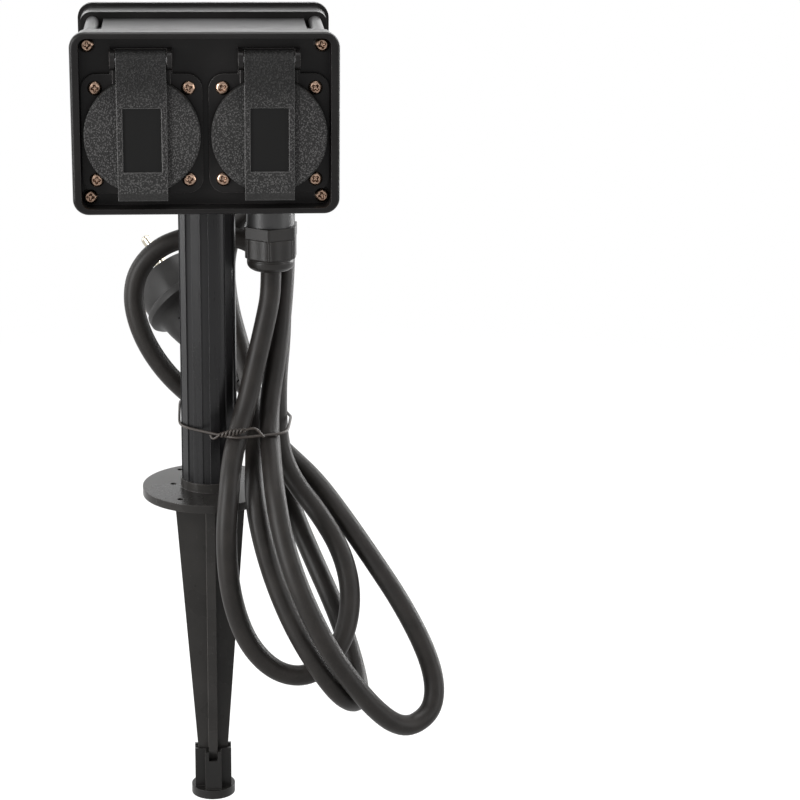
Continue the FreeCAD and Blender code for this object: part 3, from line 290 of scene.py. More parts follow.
# Shader arithmetic and node making
class Shade:
    """A number that varies over a surface: expressions on it add Math nodes."""

    def __init__(self, look, socket):
        self.look = look
        self.socket = socket

    def maths(self, operation, *terms):
        made = self.look.node("Math", {"operation": operation}, dict(enumerate(terms)))
        return Shade(self.look, made.outputs[0])

    def __add__(self, other):
        return self.maths("ADD", self, other)

    __radd__ = __add__

    def __sub__(self, other):
        return self.maths("SUBTRACT", self, other)

    def __rsub__(self, other):
        return self.maths("SUBTRACT", other, self)

    def __mul__(self, other):
        return self.maths("MULTIPLY", self, other)

    __rmul__ = __mul__

    def __abs__(self):
        return self.maths("ABSOLUTE", self)

    def above(self, low, high):
        """0 below low, 1 above high, and smooth between them."""
        made = self.look.node("MapRange", {"interpolation_type": "SMOOTHSTEP"},
                              {"Value": self, "From Min": low, "From Max": high})
        return Shade(self.look, made.outputs[0])

    def below(self, low, high):
        return 1 - self.above(low, high)


class Look:
    """A node tree in the making."""

    def __init__(self, tree):
        self.tree = tree
        self.tree.nodes.clear()

    def node(self, kind, settings=None, sockets=None):
        made = self.tree.nodes.new("ShaderNode" + kind)
        for key, value in (settings or {}).items():
            setattr(made, key, value)
        for key, value in (sockets or {}).items():
            if isinstance(value, Shade):
                value = value.socket
            if isinstance(value, bpy.types.NodeSocket):
                self.tree.links.new(value, made.inputs[key])
            else:
                made.inputs[key].default_value = value
        return made

    def place(self, stretch=(1, 1, 1)):
        """Object coordinates, drawn out along the axes whose stretch is below 1."""
        where = self.node("TexCoord").outputs["Object"]
        if stretch == (1, 1, 1):
            return where
        return self.node("Mapping", None, {"Vector": where, "Scale": stretch}).outputs[0]

    def axes(self):
        parts = self.node("SeparateXYZ", None, {0: self.place()})
        return [Shade(self, parts.outputs[k]) for k in range(3)]

    def noise(self, size, detail=2.0, stretch=(1, 1, 1)):
        made = self.node("TexNoise", None, {"Vector": self.place(stretch), "Scale": 1 / size,
                                            "Detail": detail})
        return Shade(self, made.outputs["Fac"])

    def grains(self, size):
        made = self.node("TexVoronoi", {"feature": "SMOOTH_F1"},
                         {"Vector": self.place(), "Scale": 1 / size, "Smoothness": 0.6})
        return Shade(self, made.outputs["Distance"])

    def mixed(self, share, first, second):
        made = self.node("Mix", {"data_type": "RGBA"}, {0: share, 6: first, 7: second})
        return made.outputs[2]

    def rounded_edges(self, radius):
        """Normal with softened edges, and a mask of those edges."""
        soft = self.node("Bevel", {"samples": 6}, {"Radius": radius}).outputs[0]
        plain = self.node("NewGeometry").outputs["Normal"]
        match = self.node("VectorMath", {"operation": "DOT_PRODUCT"}, {0: soft, 1: plain})
        return soft, (1 - Shade(self, match.outputs["Value"])).above(0.02, 0.30)

    def raised(self, height, depth, normal):
        made = self.node("Bump", None, {"Height": height, "Distance": depth, "Normal": normal})
        return made.outputs[0]

    def finish(self, **sockets):
        shader = self.node("BsdfPrincipled", None, sockets)
        self.node("OutputMaterial", None, {0: shader.outputs[0]})


def tint(colour, factor):
    return (*[min(1.0, c * factor) for c in colour], 1.0)


def new_look(name):
    material = bpy.data.materials.new(name)
    material.use_nodes = True
    return material, Look(material.node_tree)


def moulded(name, colour, roughness=0.45, specular=0.3, grain=0.35 * MM, depth=0.02 * MM, streak=None,
            edge=None, edge_highlight_and_wear=0.5, paler=6.0):
    """Moulded plastic: fine grain, drawn streaks where asked, broad change of gloss, dust, and edges painted
    paler as a painted highlight.
    """
    material, look = new_look(name)
    soft, lit_and_worn_edges = look.rounded_edges(edge or bpy.context.scene.socket_post_sizes.soft_edge)
    broad = look.noise(22 * MM, 3.0)
    fine = look.noise(grain, 2.0)
    dust = look.noise(1.1 * MM, 1.0).above(0.70, 0.80)
    height = fine
    if streak:
        drawn = look.noise(1.6 * MM, 3.0, streak)
        height = fine * 0.4 + drawn * 0.6
        broad = broad * 0.5 + drawn * 0.5
    base = look.mixed(broad.above(0.25, 0.75), tint(colour, 0.82), tint(colour, 1.22))
    base = look.mixed(dust * 0.30, base, tint(colour, 3.0))
    # Painted highlight: the edges that the bevel finds are painted paler
    base = look.mixed(lit_and_worn_edges * edge_highlight_and_wear, base, tint(colour, paler))
    look.finish(**{"Base Color": base, "Roughness": broad * 0.14 + dust * 0.1 + (roughness - 0.07),
                   "Specular IOR Level": specular, "Normal": look.raised(height, depth, soft)})
    return material


def pebbled(name, colour, pebble):
    """Pebbled plastic of the lids, smooth in the sunk window, on the finger tab and inside, with painted
    highlights on the pebbles' tops and along the edges, and a painted shade over the strap's top.
    """
    material, look = new_look(name)
    soft, lit_and_worn_edges = look.rounded_edges(0.6 * MM)
    x, y, z = look.axes()
    wide, high = WINDOW_HALF
    aside = abs(abs(x) - SOCKET_ASIDE * MM).below(wide * MM, (wide + 0.25) * MM)
    window = aside * abs(z - WINDOW_HEIGHT * MM).below(high * MM, (high + 0.25) * MM)
    tab = z.below(TAB_TOP * MM, (TAB_TOP + 0.7) * MM)
    inside = abs(y).below(LID_INSIDE * MM, (LID_INSIDE + 0.2) * MM)
    smooth = (window + tab * 0.75 + inside).above(0.0, 1.0)
    pebbles = look.grains(pebble) * -1.0 + look.noise(pebble * 0.8, 2.0) * 1.1 - 0.15
    broad = look.noise(15 * MM, 3.0)
    rough_part = 1 - smooth
    base = look.mixed(broad.above(0.2, 0.8), tint(colour, 0.50), tint(colour, 0.75))
    # Painted highlight: the raised tops of the pebbles are painted paler
    base = look.mixed(pebbles.above(-0.10, 0.15) * rough_part * 0.85, base, tint(colour, 2.9))
    # Painted shade: the strap is painted darker towards its top, near the hinge
    base = look.mixed(z.above(*[height * MM for height in STRAP_PAINTED_SHADE]) * 0.70, base, tint(colour, 0.25))
    base = look.mixed(window, base, tint(colour, 0.14))
    # Painted highlight: the lid's edges are painted paler
    base = look.mixed(lit_and_worn_edges * 0.8, base, tint(colour, 6.5))
    normal = look.raised(pebbles * rough_part, 0.30 * MM, soft)
    look.finish(**{"Base Color": base, "Roughness": 0.56 - smooth * 0.14 + broad * 0.08,
                   "Specular IOR Level": 0.14, "Normal": normal})
    return material


def rubber(name, colour, roughness=0.62, specular=0.28, grain=0.5 * MM, depth=0.03 * MM):
    """Dull rubber: soft mottling, faint scuffs and a fine uneven skin."""
    material, look = new_look(name)
    broad = look.noise(9 * MM, 4.0)
    scuffs = look.noise(2.4 * MM, 3.0, (1, 1, 0.35)).above(0.62, 0.78)
    chalk = look.noise(0.42 * MM, 2.0).above(0.52, 0.72)
    base = look.mixed(broad.above(0.3, 0.7), tint(colour, 0.72), tint(colour, 1.15))
    base = look.mixed(chalk * 0.40, base, tint(colour, 2.2))
    base = look.mixed(scuffs * 0.40, base, tint(colour, 2.2))
    height = look.noise(grain, 3.0) * 0.6 + look.noise(3 * MM, 2.0)
    look.finish(**{"Base Color": base, "Roughness": broad * 0.16 + scuffs * 0.08 + (roughness - 0.08),
                   "Specular IOR Level": specular,
                   "Normal": look.raised(height, depth, look.rounded_edges(0.3 * MM)[0])})
    return material


def plated(name, colour, roughness=0.24, tarnish=0.45, brushed=(1, 1, 1), edge_highlight_and_wear=0.3, paler=1.2):
    """Plated metal: fine turning marks, darker tarnish in patches, and paler edges, part wear and part
    painted highlight.
    """
    material, look = new_look(name)
    soft, lit_and_worn_edges = look.rounded_edges(0.12 * MM)
    marks = look.noise(0.12 * MM, 2.0, brushed)
    patches = look.noise(1.4 * MM, 3.0)
    base = look.mixed(patches.above(0.45, 0.8) * tarnish, tint(colour, 1.0), tint(colour, 0.42))
    # Edges painted paler: part wear, part painted highlight
    base = look.mixed(lit_and_worn_edges * edge_highlight_and_wear, base, tint(colour, paler))
    look.finish(**{"Base Color": base, "Metallic": 1.0,
                   "Roughness": marks * 0.16 + patches * 0.12 + (roughness - 0.12),
                   "Normal": look.raised(marks, 0.01 * MM, soft)})
    return material


def dress(material, *names):
    for name in names:
        slots = nodes[name].data.materials
        slots.clear()
        slots.append(material)


# Mesh making
def piece_from(work, name, material, stands_for=(), body="post", crease=35):
    mesh = bpy.data.meshes.new(name)
    work.to_mesh(mesh)
    work.free()
    for face in mesh.polygons:
        face.use_smooth = True
    mesh.set_sharp_from_angle(angle=math.radians(crease))
    mesh.materials.append(material)
    piece = bpy.data.objects.new(name, mesh)
    bpy.context.scene.collection.objects.link(piece)
    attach(piece, body)
    if stands_for:
        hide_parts(*stands_for)
    return piece


def turned_profile(work, profile, steps):
    """Spins (radius, height) pairs about Z into a form that is closed where the profile is."""
    corners = [work.verts.new((radius * MM, 0, height * MM)) for radius, height in profile]
    edges = [work.edges.new(pair) for pair in zip(corners, corners[1:])]
    bmesh.ops.spin(work, geom=corners + edges, cent=(0, 0, 0), axis=(0, 0, 1), dvec=(0, 0, 0),
                   angle=2 * math.pi, steps=steps, use_merge=True)
    bmesh.ops.remove_doubles(work, verts=work.verts, dist=0.002 * MM)
    bmesh.ops.recalc_face_normals(work, faces=work.faces)


def screw_form(work, radius, height, length, steps):
    """One screw standing on Z = 0: a domed head with a cross recess, and its shank below."""
    profile = [(0, -length), (SCREW_SHANK * 0.6, -length), (SCREW_SHANK, 1.2 - length), (SCREW_SHANK, 0),
               (radius, 0), (radius, height * 0.30), (radius * 0.97, height * 0.45),
               (radius * 0.88, height * 0.68), (radius * 0.76, height * 0.86), (radius * 0.66, height)]
    turned_profile(work, profile, steps)
    top = [edge for edge in work.edges if edge.is_boundary]
    reach = radius * 0.56
    wide = radius * 0.15
    outline = []
    for quarter in range(4):
        turn = Matrix.Rotation(quarter * math.pi / 2, 3, "Z")
        outline += [turn @ Vector((reach, -wide, 0)), turn @ Vector((reach, wide, 0)),
                    turn @ Vector((wide * 1.5, wide * 1.5, 0))]
    rings = []
    for share, depth in ((1.0, 0.0), (0.86, 0.55), (0.42, 1.05)):
        rings.append([work.verts.new((point.x * share * MM, point.y * share * MM, (height - depth) * MM))
                      for point in outline])
    rim = [work.edges.new((rings[0][k - 1], rings[0][k])) for k in range(12)]
    bmesh.ops.triangle_fill(work, edges=top + rim, use_beauty=True, normal=(0, 0, 1))
    for upper, lower in zip(rings, rings[1:]):
        for k in range(12):
            work.faces.new((upper[k - 1], upper[k], lower[k], lower[k - 1]))
    work.faces.new(rings[-1])
    bmesh.ops.recalc_face_normals(work, faces=work.faces)


def hexagon_radius(angle):
    """Distance of the gland's hexagon from its middle."""
    flat, corner = HEXAGON_HALF
    off = (angle - GLAND_TURN + math.pi / 3) % (math.pi / 3) - math.pi / 6
    return min(flat / math.cos(off), corner)


def nut_radius(angle):
    """Distance of the nut's side from its middle: soft corners, each with three fine ribs."""
    mean, swing, rib = NUT_SIDE
    step, reach = [math.radians(degrees) for degrees in NUT_RIBS]
    off = (angle - GLAND_TURN + math.pi / 6) % (math.pi / 3) - math.pi / 6
    wave = mean + swing * math.cos(6 * off)
    ribs = rib * max(0.0, math.cos(off * 2 * math.pi / step))
    return wave + (ribs if abs(off) < reach else 0.0)


def wire_curve(name, points, radius, closed=False):
    data = bpy.data.curves.new(name, "CURVE")
    data.dimensions = "3D"
    data.bevel_depth = radius
    data.bevel_resolution = 4
    data.resolution_u = 8
    data.use_fill_caps = True
    line = data.splines.new("NURBS")
    line.points.add(len(points) - 1)
    for knot, point in zip(line.points, points):
        knot.co = (*[c * MM for c in point], 1)
    line.order_u = 3
    line.use_cyclic_u = closed
    line.use_endpoint_u = not closed
    piece = bpy.data.objects.new(name, data)
    bpy.context.scene.collection.objects.link(piece)
    return piece


def plug_matrix():
    """Where the plug lies: made along +Z from the cable's end, with its pins along X."""
    start = Vector(CABLE_ROUTE[-1])
    axis = (start - Vector(CABLE_ROUTE[-2])).normalized()
    across = (PLUG_PINS_ALONG - axis * PLUG_PINS_ALONG.dot(axis)).normalized()
    third = axis.cross(across)
    columns = Matrix((across, third, axis)).transposed().to_4x4()
    return Matrix.Translation(start * MM) @ columns


def flat_plate(work, outlines, low, high):
    """Makes a plate between two heights from its outline and those of its holes, and returns its corners."""
    loops = [[work.verts.new((x * MM, y * MM, low * MM)) for x, y in ring] for ring in outlines]
    rims = [work.edges.new((ring[k - 1], ring[k])) for ring in loops for k in range(len(ring))]
    flat = bmesh.ops.triangle_fill(work, edges=rims, use_beauty=True, normal=(0, 0, 1))["geom"]
    faces = [item for item in flat if isinstance(item, bmesh.types.BMFace)]
    raised = bmesh.ops.extrude_face_region(work, geom=faces, use_keep_orig=True)["geom"]
    corners = [item for item in raised if isinstance(item, bmesh.types.BMVert)]
    bmesh.ops.translate(work, vec=(0, 0, (high - low) * MM), verts=corners)
    return [corner for ring in loops for corner in ring] + corners


def earth_plates(metal):
    """Makes the plug's earth strips on its two flats, and the notched earth contact in its front."""
    work = bmesh.new()
    middle, radius = EARTH_HOLE
    circle = [(radius * math.cos(step * math.pi / 12), middle + radius * math.sin(step * math.pi / 12))
              for step in range(24)]
    under, over = EARTH_SPAN
    flat_plate(work, [EARTH_CONTACT, circle], PLUG_FACE - under, PLUG_FACE + over)
    for side in (-1, 1):
        laid = flat_plate(work, [EARTH_STRIP], 0.0, STRIP_THICK)
        stand = Matrix.Rotation(math.pi / 2, 4, "X") @ Matrix.Scale(-1, 4, (0, 1, 0))
        face = Matrix.Translation((0, STRIP_REACH * MM, PLUG_FACE * MM))
        turn = Matrix.Rotation(0 if side == 1 else math.pi, 4, "Z")
        bmesh.ops.transform(work, matrix=turn @ face @ stand, verts=laid)
    bmesh.ops.recalc_face_normals(work, faces=work.faces)
    bmesh.ops.transform(work, matrix=plug_matrix(), verts=work.verts)
    return piece_from(work, "plug_earth_plates", metal, ["plug_earth_clips"])


def faces_where(work, wanted):
    """Faces whose middle, in millimetres, meets a test."""
    return [face for face in work.faces if wanted(face.calc_center_median() / MM)]


def cut_in(work, faces, margin, depth):
    """Sinks a region of faces, with a sloped margin round it."""
    bmesh.ops.inset_region(work, faces=faces, thickness=margin * MM, depth=-depth * MM,
                           use_even_offset=True)


def share_of(value, low, high):
    """0 at low, 1 at high, and even between them; high may be the smaller one."""
    return max(0.0, min(1.0, (value - low) / (high - low)))


def shape_front(work, sizes):
    """Draws the grip oval, and cuts the two flats and the two keyways of the plug's front."""
    low, high = PLUG_OVAL
    depth, half, start = KEYWAY
    flat = sizes.front_radius - sizes.flat_depth
    keyway = sizes.front_radius - depth * MM
    for corner in work.verts:
        x, y, z = corner.co
        oval = share_of(z / MM, low, low + 3.0) * share_of(z / MM, high, high - 9.0)
        corner.co.x = x * (1 - 0.17 * oval)
        corner.co.y = y * (1 + 0.06 * oval)
        if z > PLUG_FLATS * MM and abs(y) > flat:
            corner.co.y = math.copysign(flat, y)
        if z > start * MM and abs(x) > keyway and abs(y) < half * MM:
            corner.co.x = math.copysign(keyway, x)


def add_pin_collars(work, spacing):
    """Adds a faint collar round each pin, which slopes down into the plug's front."""
    inner, outer = PIN_COLLAR
    for side in (-1, 1):
        bmesh.ops.create_circle(work, cap_ends=False, segments=24, radius=inner * MM,
                                matrix=Matrix.Translation((side * spacing / 2, 0, (PLUG_FACE + 0.02) * MM)))
    rings = [edge for edge in work.edges if not edge.link_faces]
    for corner in bmesh.ops.extrude_edge_only(work, edges=rings)["geom"]:
        if isinstance(corner, bmesh.types.BMVert):
            middle = Vector((math.copysign(spacing / 2, corner.co.x), 0, corner.co.z + 0.35 * MM))
            corner.co = middle + (corner.co - middle).normalized() * outer * MM
            corner.co.z = (PLUG_FACE - 0.05) * MM


def plug_shell(sizes, material):
    """Makes the plug's grip, guard rim and front."""
    guard = sizes.guard_radius / MM
    front = sizes.front_radius / MM
    profile = PLUG_GRIP + [
        (guard - 0.7, 44.1), (guard, 44.9), (guard, 47.5), (guard - 0.25, 48.2), (guard - 0.7, 48.5),
        (front + 0.45, 48.4), (front + 0.15, 46.6), (front, 46.6), (front, 50.0), (front, 61.5),
        (front - 0.3, 62.2), (front - 1.0, PLUG_FACE), (14.0, PLUG_FACE), (9.5, PLUG_FACE),
        (4.0, PLUG_FACE), (0, PLUG_FACE)]
    work = bmesh.new()
    turned_profile(work, profile, 96)
    shape_front(work, sizes)
    for low, high, reach in PLUG_GROOVES:
        for side in (-1, 1):
            groove = faces_where(work, lambda at: low < at.z < high and side * at.x > 0
                                 and abs(at.y) < reach and at.xy.length > 9)
            cut_in(work, groove, *GROOVE_CUT)
    add_pin_collars(work, sizes.plug_pin_spacing)
    bmesh.ops.transform(work, matrix=plug_matrix(), verts=work.verts)
    return piece_from(work, "plug_shell", material, ["plug_body"])


def plug_relief(material):
    """Makes the plug's strain relief, with slits in turn on its four sides."""
    work = bmesh.new()
    turned_profile(work, RELIEF, 72)
    for low, quarter in RELIEF_SLITS:
        for half in (0, 1):
            angle = math.pi * half + math.pi / 2 * (1 - quarter)
            toward = Vector((math.cos(angle), math.sin(angle)))
            slit = faces_where(work, lambda at: low < at.z < low + SLIT_HEIGHT and at.xy.length > 5
                               and at.xy.normalized().dot(toward) > 0.60)
            cut_in(work, slit, *SLIT_CUT)
    bmesh.ops.transform(work, matrix=plug_matrix(), verts=work.verts)
    return piece_from(work, "plug_strain_relief", material)


class SOCKETPOST_OT_cable(bpy.types.Operator):
    """Lays the supply cable along its route"""

    bl_idname = "socketpost.cable"
    bl_label = "Cable"

    def execute(self, context):
        sizes = context.scene.socket_post_sizes
        colours = context.scene.socket_post_colours
        cable = wire_curve("supply_cable", CABLE_ROUTE, sizes.cable_diameter / 2)
        cable.data.bevel_resolution = 7
        skin = rubber("cable_rubber", colours.cable, roughness=0.46, specular=0.18)
        cable.data.materials.append(skin)
        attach(cable, "post")
        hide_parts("cable")
        dress(skin, "supply_tail")
        return {"FINISHED"}


class SOCKETPOST_OT_plug(bpy.types.Operator):
    """Makes the plug on the cable's end, with its strain relief and its earth plates"""

    bl_idname = "socketpost.plug"
    bl_label = "Plug"

    def execute(self, context):
        sizes = context.scene.socket_post_sizes
        colours = context.scene.socket_post_colours
        black = rubber("plug_rubber", colours.plug, roughness=0.50, specular=0.22, grain=0.35 * MM,
                       depth=0.02 * MM)
        shell = plug_shell(sizes, black)
        relief = plug_relief(black)
        plates = earth_plates(plated("earth_plate", colours.pins, roughness=0.24, tarnish=0.25))
        return {"FINISHED"}


class SOCKETPOST_OT_tie(bpy.types.Operator):
    """Winds the wire tie round the pole and the cable, with its twisted end in front"""

    bl_idname = "socketpost.tie"
    bl_label = "Wire tie"

    def execute(self, context):
        radius = context.scene.socket_post_sizes.tie_wire / 2
        coat = rubber("tie_coating", context.scene.socket_post_colours.wire, roughness=0.42, specular=0.34,
                      grain=0.3 * MM, depth=0.01 * MM)
        loop = [(x, y, TIE_HEIGHT + 0.25 * math.sin(x / 7)) for x, y in TIE_LOOP]
        parts = [wire_curve("tie_loop", loop, radius, closed=True)]
        start, end = [Vector(point) for point in TIE_TWIST]
        along = (end - start).normalized()
        side = along.cross(Vector((0, 0, 1))).normalized()
        rise = side.cross(along)
        near, swell = TIE_PAIR
        count = 40
        for phase, tail in zip((0, math.pi), TIE_TAILS):
            strand = []
            for step in range(count + 1):
                share = step / count
                angle = phase + share * 2 * math.pi * TIE_TURNS
                wide = near + swell * math.sin(math.pi * share) ** 2
                strand.append(start + (end - start) * share
                              + (side * math.cos(angle) * near + rise * math.sin(angle) * wide))
            parts.append(wire_curve("tie_twist_%d" % len(parts), strand, radius * 0.9))
            parts.append(wire_curve("tie_tail_%d" % len(parts), tail, radius * 0.9))
        for part in parts:
            part.data.materials.append(coat)
            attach(part, "post")
        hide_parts("twist_tie")
        return {"FINISHED"}


class SOCKETPOST_OT_mouldings(bpy.types.Operator):
    """Gives the box, frames, sockets, pole, spike and cap their plastics"""

    bl_idname = "socketpost.mouldings"
    bl_label = "Mouldings"

    def execute(self, context):
        colours = context.scene.socket_post_colours
        # Each plastic below has its edges painted paler, a painted highlight, to the strength given
        dress(moulded("frame_plastic", colours.frames, roughness=0.33, specular=0.14, edge_highlight_and_wear=0.32),
              "front_frame", "rear_frame")
        dress(moulded("box_plastic", colours.box, roughness=0.40, specular=0.46, grain=0.5 * MM,
                      depth=0.03 * MM), "junction_box")
        dress(moulded("socket_plastic", colours.frames, roughness=0.36, specular=0.14, grain=0.3 * MM,
                      depth=0.01 * MM, edge_highlight_and_wear=1.0, paler=14.0),
              *[kind + side for kind in ("socket_faces_", "guide_plates_", "contact_blocks_")
                for side in SIDES], *["base_" + place for place in PLACES])
        dress(moulded("pole_plastic", colours.pole, roughness=0.28, specular=0.22, grain=0.4 * MM,
                      depth=0.03 * MM, streak=(1, 1, 0.02), edge=0.25 * MM, edge_highlight_and_wear=1.0), "pole")
        dress(moulded("spike_plastic", colours.spike, roughness=0.28, specular=0.12, grain=0.8 * MM,
                      depth=0.008 * MM), "ground_spike")
        dress(moulded("cap_plastic", tint(colours.spike, 0.42)[:3], roughness=0.40, specular=0.18),
              "spike_cap")
        dress(moulded("shutter_green", colours.shutters, roughness=0.30, specular=0.34, edge_highlight_and_wear=0.3),
              *["shutter_" + place for place in PLACES])
        dress(rubber("seal_rubber", colours.frames), "front_frame_gasket", "rear_frame_gasket",
              "flange_seals_front", "flange_seals_rear", "gland_seal")
        dress(rubber("core_insulation", colours.cores, roughness=0.45, specular=0.4), "wires")
        return {"FINISHED"}


class SOCKETPOST_OT_lids(bpy.types.Operator):
    """Gives the lids their pebbled plastic and the seals in them their light grey"""

    bl_idname = "socketpost.lids"
    bl_label = "Lids"

    def execute(self, context):
        sizes = context.scene.socket_post_sizes
        colours = context.scene.socket_post_colours
        dress(pebbled("lid_plastic", colours.lids, sizes.pebble), *["lid_" + place for place in PLACES])
        dress(rubber("lid_seal_grey", colours.seals, roughness=0.38, specular=0.5, grain=0.6 * MM,
                     depth=0.01 * MM), *["lid_seal_" + place for place in PLACES])
        return {"FINISHED"}


class SOCKETPOST_OT_screws(bpy.types.Operator):
    """Makes the screws, with domed heads and a tapered cross recess"""

    bl_idname = "socketpost.screws"
    bl_label = "Screws"

    def execute(self, context):
        sizes = context.scene.socket_post_sizes
        nickel = plated("screw_nickel", context.scene.socket_post_colours.nickel, roughness=0.22,
                        tarnish=0.75, edge_highlight_and_wear=0.8, paler=2.4)
        for kind, radius, height, length, face, places in SCREWS:
            names = [kind % side for side in SIDES]
            work = bmesh.new()
            for side in (1, -1):
                for count, (x, z) in enumerate(places):
                    made = bmesh.new()
                    screw_form(made, radius, height, length, sizes.head_segments)
                    turn = Matrix.Rotation(0.5 + 1.7 * count + side, 4, "Z")
                    lie = Matrix.Rotation(math.pi / 2, 4, "X")
                    facing = Matrix.Rotation(0 if side == 1 else math.pi, 4, "Z")
                    seat = Matrix.Translation((x * MM, -face * MM, z * MM))
                    bmesh.ops.transform(made, matrix=facing @ seat @ lie @ turn, verts=made.verts)
                    holder = bpy.data.meshes.new("holder")
                    made.to_mesh(holder)
                    made.free()
                    work.from_mesh(holder)
                    bpy.data.meshes.remove(holder)
            piece_from(work, kind.replace("%s", "").strip("_") + "_set", nickel, names)
        return {"FINISHED"}


class SOCKETPOST_OT_gland(bpy.types.Operator):
    """Makes the gland's hexagon and its ribbed dome nut"""

    bl_idname = "socketpost.gland"
    bl_label = "Cable gland"

    def execute(self, context):
        colour = tint(context.scene.socket_post_colours.cable, 0.8)[:3]
        black = moulded("gland_plastic", colour, roughness=0.36, specular=0.28, grain=0.4 * MM,
                        edge=0.35 * MM, edge_highlight_and_wear=0.6)
        forms = (("gland_hexagon", "gland_body", GLAND_BODY, hexagon_radius, (116.0, 121.8)),
                 ("gland_dome_nut", "gland_nut", GLAND_NUT, nut_radius, (107.6, 116.3)))
        for name, node, profile, radius_at, (low, high) in forms:
            work = bmesh.new()
            turned_profile(work, profile, 360)
            for corner in work.verts:
                reach = corner.co.xy.length / MM
                if reach > GLAND_SIDE and low < corner.co.z / MM < high:
                    angle = math.atan2(corner.co.y, corner.co.x)
                    share = radius_at(angle) / reach
                    corner.co.x *= share
                    corner.co.y *= share
            bmesh.ops.translate(work, vec=(GLAND_X * MM, 0, 0), verts=work.verts)
            piece_from(work, name, black, [node], crease=18)
        return {"FINISHED"}


class SOCKETPOST_OT_metal(bpy.types.Operator):
    """Gives the pins, contacts and springs their metals"""

    bl_idname = "socketpost.metal"
    bl_label = "Metal pieces"

    def execute(self, context):
        colours = context.scene.socket_post_colours
        dress(plated("pin_nickel", colours.pins, roughness=0.20, tarnish=0.35), "plug_pins",
              "earth_pins_front", "earth_pins_rear")
        dress(plated("contact_brass", colours.brass, roughness=0.26, tarnish=0.2), "contacts_front",
              "contacts_rear")
        dress(plated("hinge_steel", colours.steel, roughness=0.34, tarnish=0.4, brushed=(0.1, 1, 1)),
              *[kind + place for kind in ("hinge_pin_", "lid_spring_") for place in PLACES])
        return {"FINISHED"}


def seen_rays(look):
    """1 for the rays that show the plain background: the camera's, and those mirrored or let through."""
    rays = look.node("LightPath")
    return (Shade(look, rays.outputs["Is Camera Ray"]) + Shade(look, rays.outputs["Is Glossy Ray"])
            + Shade(look, rays.outputs["Is Transmission Ray"]))


def paper_look(colour):
    """White paper that keeps the post's shadow where it is seen, and gives little light back to the post."""
    material, look = new_look("floor_paper")
    seen = seen_rays(look)
    x, y, _ = look.axes()
    far = (x * x + y * y).above(*FLOOR_FADE)
    pale = look.node("BsdfDiffuse", None, {"Color": tint(colour, 1.0)})
    dull = look.node("BsdfDiffuse", None, {"Color": tint(colour, FLOOR_RETURN)})
    paper = look.node("MixShader", None, {0: seen, 1: dull.outputs[0], 2: pale.outputs[0]})
    glow = look.node("Emission", None, {"Color": (1, 1, 1, 1), "Strength": 1.0})
    both = look.node("MixShader", None, {0: seen * (far * (1 - FLOOR_GLOW) + FLOOR_GLOW),
                                         1: paper.outputs[0], 2: glow.outputs[0]})
    look.node("OutputMaterial", None, {0: both.outputs[0]})
    return material


def lay_floor(scene, height):
    work = bmesh.new()
    bmesh.ops.create_grid(work, x_segments=8, y_segments=8, size=FLOOR_HALF,
                          matrix=Matrix.Translation((0, 0, height)))
    mesh = bpy.data.meshes.new("studio_floor")
    work.to_mesh(mesh)
    work.free()
    floor = bpy.data.objects.new("studio_floor", mesh)
    scene.collection.objects.link(floor)
    mesh.materials.append(paper_look(scene.socket_post_colours.floor))


def surround(scene):
    """A world that is white where it is seen, and lights the post dimly from all sides."""
    world = bpy.data.worlds.new("studio")
    world.use_nodes = True
    scene.world = world
    look = Look(world.node_tree)
    soft = look.node("Background", None, {"Color": (1, 1, 1, 1), "Strength": WORLD_LIGHT})
    white = look.node("Background", None, {"Color": (1, 1, 1, 1), "Strength": 1.0})
    both = look.node("MixShader", None, {0: seen_rays(look), 1: soft.outputs[0], 2: white.outputs[0]})
    look.node("OutputWorld", None, {0: both.outputs[0]})


def hang_lamps(scene):
    for name, place, size, power in LAMPS:
        data = bpy.data.lights.new(name, "AREA")
        data.shape = "RECTANGLE"
        data.size, data.size_y = size
        data.energy = power
        lamp = bpy.data.objects.new(name, data)
        scene.collection.objects.link(lamp)
        lamp.location = place
        lamp.rotation_euler = (LAMP_TARGET - Vector(place)).to_track_quat("-Z", "Y").to_euler()


def set_camera(scene):
    data = bpy.data.cameras.new("camera")
    data.sensor_fit = "HORIZONTAL"
    data.sensor_width = CAMERA_SENSOR
    data.lens = CAMERA_LENS
    data.clip_start = 0.05
    data.clip_end = 50.0
    camera = bpy.data.objects.new("camera", data)
    scene.collection.objects.link(camera)
    turns = [Matrix.Rotation(angle, 4, axis) for angle, axis in CAMERA_TURNS]
    upright = Matrix.Rotation(math.pi / 2, 4, "X")
    camera.matrix_world = Matrix.Translation(CAMERA_PLACE) @ turns[0] @ turns[1] @ turns[2] @ upright
    scene.camera = camera


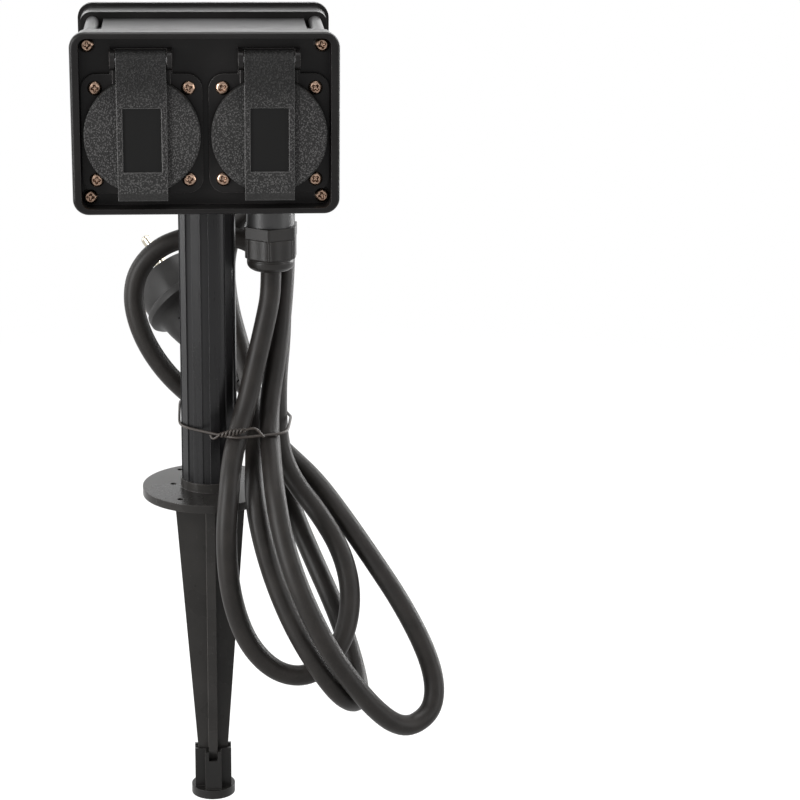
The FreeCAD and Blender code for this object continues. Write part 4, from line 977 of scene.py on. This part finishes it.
class SOCKETPOST_OT_studio(bpy.types.Operator):
    """Sets the floor, surroundings, lamps and camera"""

    bl_idname = "socketpost.studio"
    bl_label = "Studio"

    def execute(self, context):
        scene = context.scene
        scene.view_settings.view_transform = "Standard"
        lay_floor(scene, cad_box[0].z - CAP_TRAVEL * MM)
        surround(scene)
        hang_lamps(scene)
        set_camera(scene)
        return {"FINISHED"}


# In the order in which they run
OPERATORS = [SOCKETPOST_OT_cable, SOCKETPOST_OT_plug, SOCKETPOST_OT_tie, SOCKETPOST_OT_screws,
             SOCKETPOST_OT_gland, SOCKETPOST_OT_mouldings, SOCKETPOST_OT_lids, SOCKETPOST_OT_metal,
             SOCKETPOST_OT_studio]


class SOCKETPOST_PT_panel(bpy.types.Panel):
    """Lists the sizes, colours and pieces of the socket post"""

    bl_idname = "SOCKETPOST_PT_panel"
    bl_label = "Garden Socket"
    bl_space_type = "VIEW_3D"
    bl_region_type = "UI"
    bl_category = "Garden Socket"

    def draw(self, context):
        for group in (context.scene.socket_post_sizes, context.scene.socket_post_colours):
            column = self.layout.column()
            for name in group.__annotations__:
                column.prop(group, name)
        for operator in OPERATORS:
            self.layout.operator(operator.bl_idname)


CLASSES = [SocketPostSizes, SocketPostColours, *OPERATORS, SOCKETPOST_PT_panel]


def register():
    for item in CLASSES:
        bpy.utils.register_class(item)
    bpy.types.Scene.socket_post_sizes = PointerProperty(type=SocketPostSizes)
    bpy.types.Scene.socket_post_colours = PointerProperty(type=SocketPostColours)


def unregister():
    del bpy.types.Scene.socket_post_colours
    del bpy.types.Scene.socket_post_sizes
    for item in reversed(CLASSES):
        bpy.utils.unregister_class(item)


def main():
    register()
    bpy.ops.socketpost.cable()
    bpy.ops.socketpost.plug()
    bpy.ops.socketpost.tie()
    bpy.ops.socketpost.screws()
    bpy.ops.socketpost.gland()
    bpy.ops.socketpost.mouldings()
    bpy.ops.socketpost.lids()
    bpy.ops.socketpost.metal()
    bpy.ops.socketpost.studio()


if __name__ == "__main__":
    main()
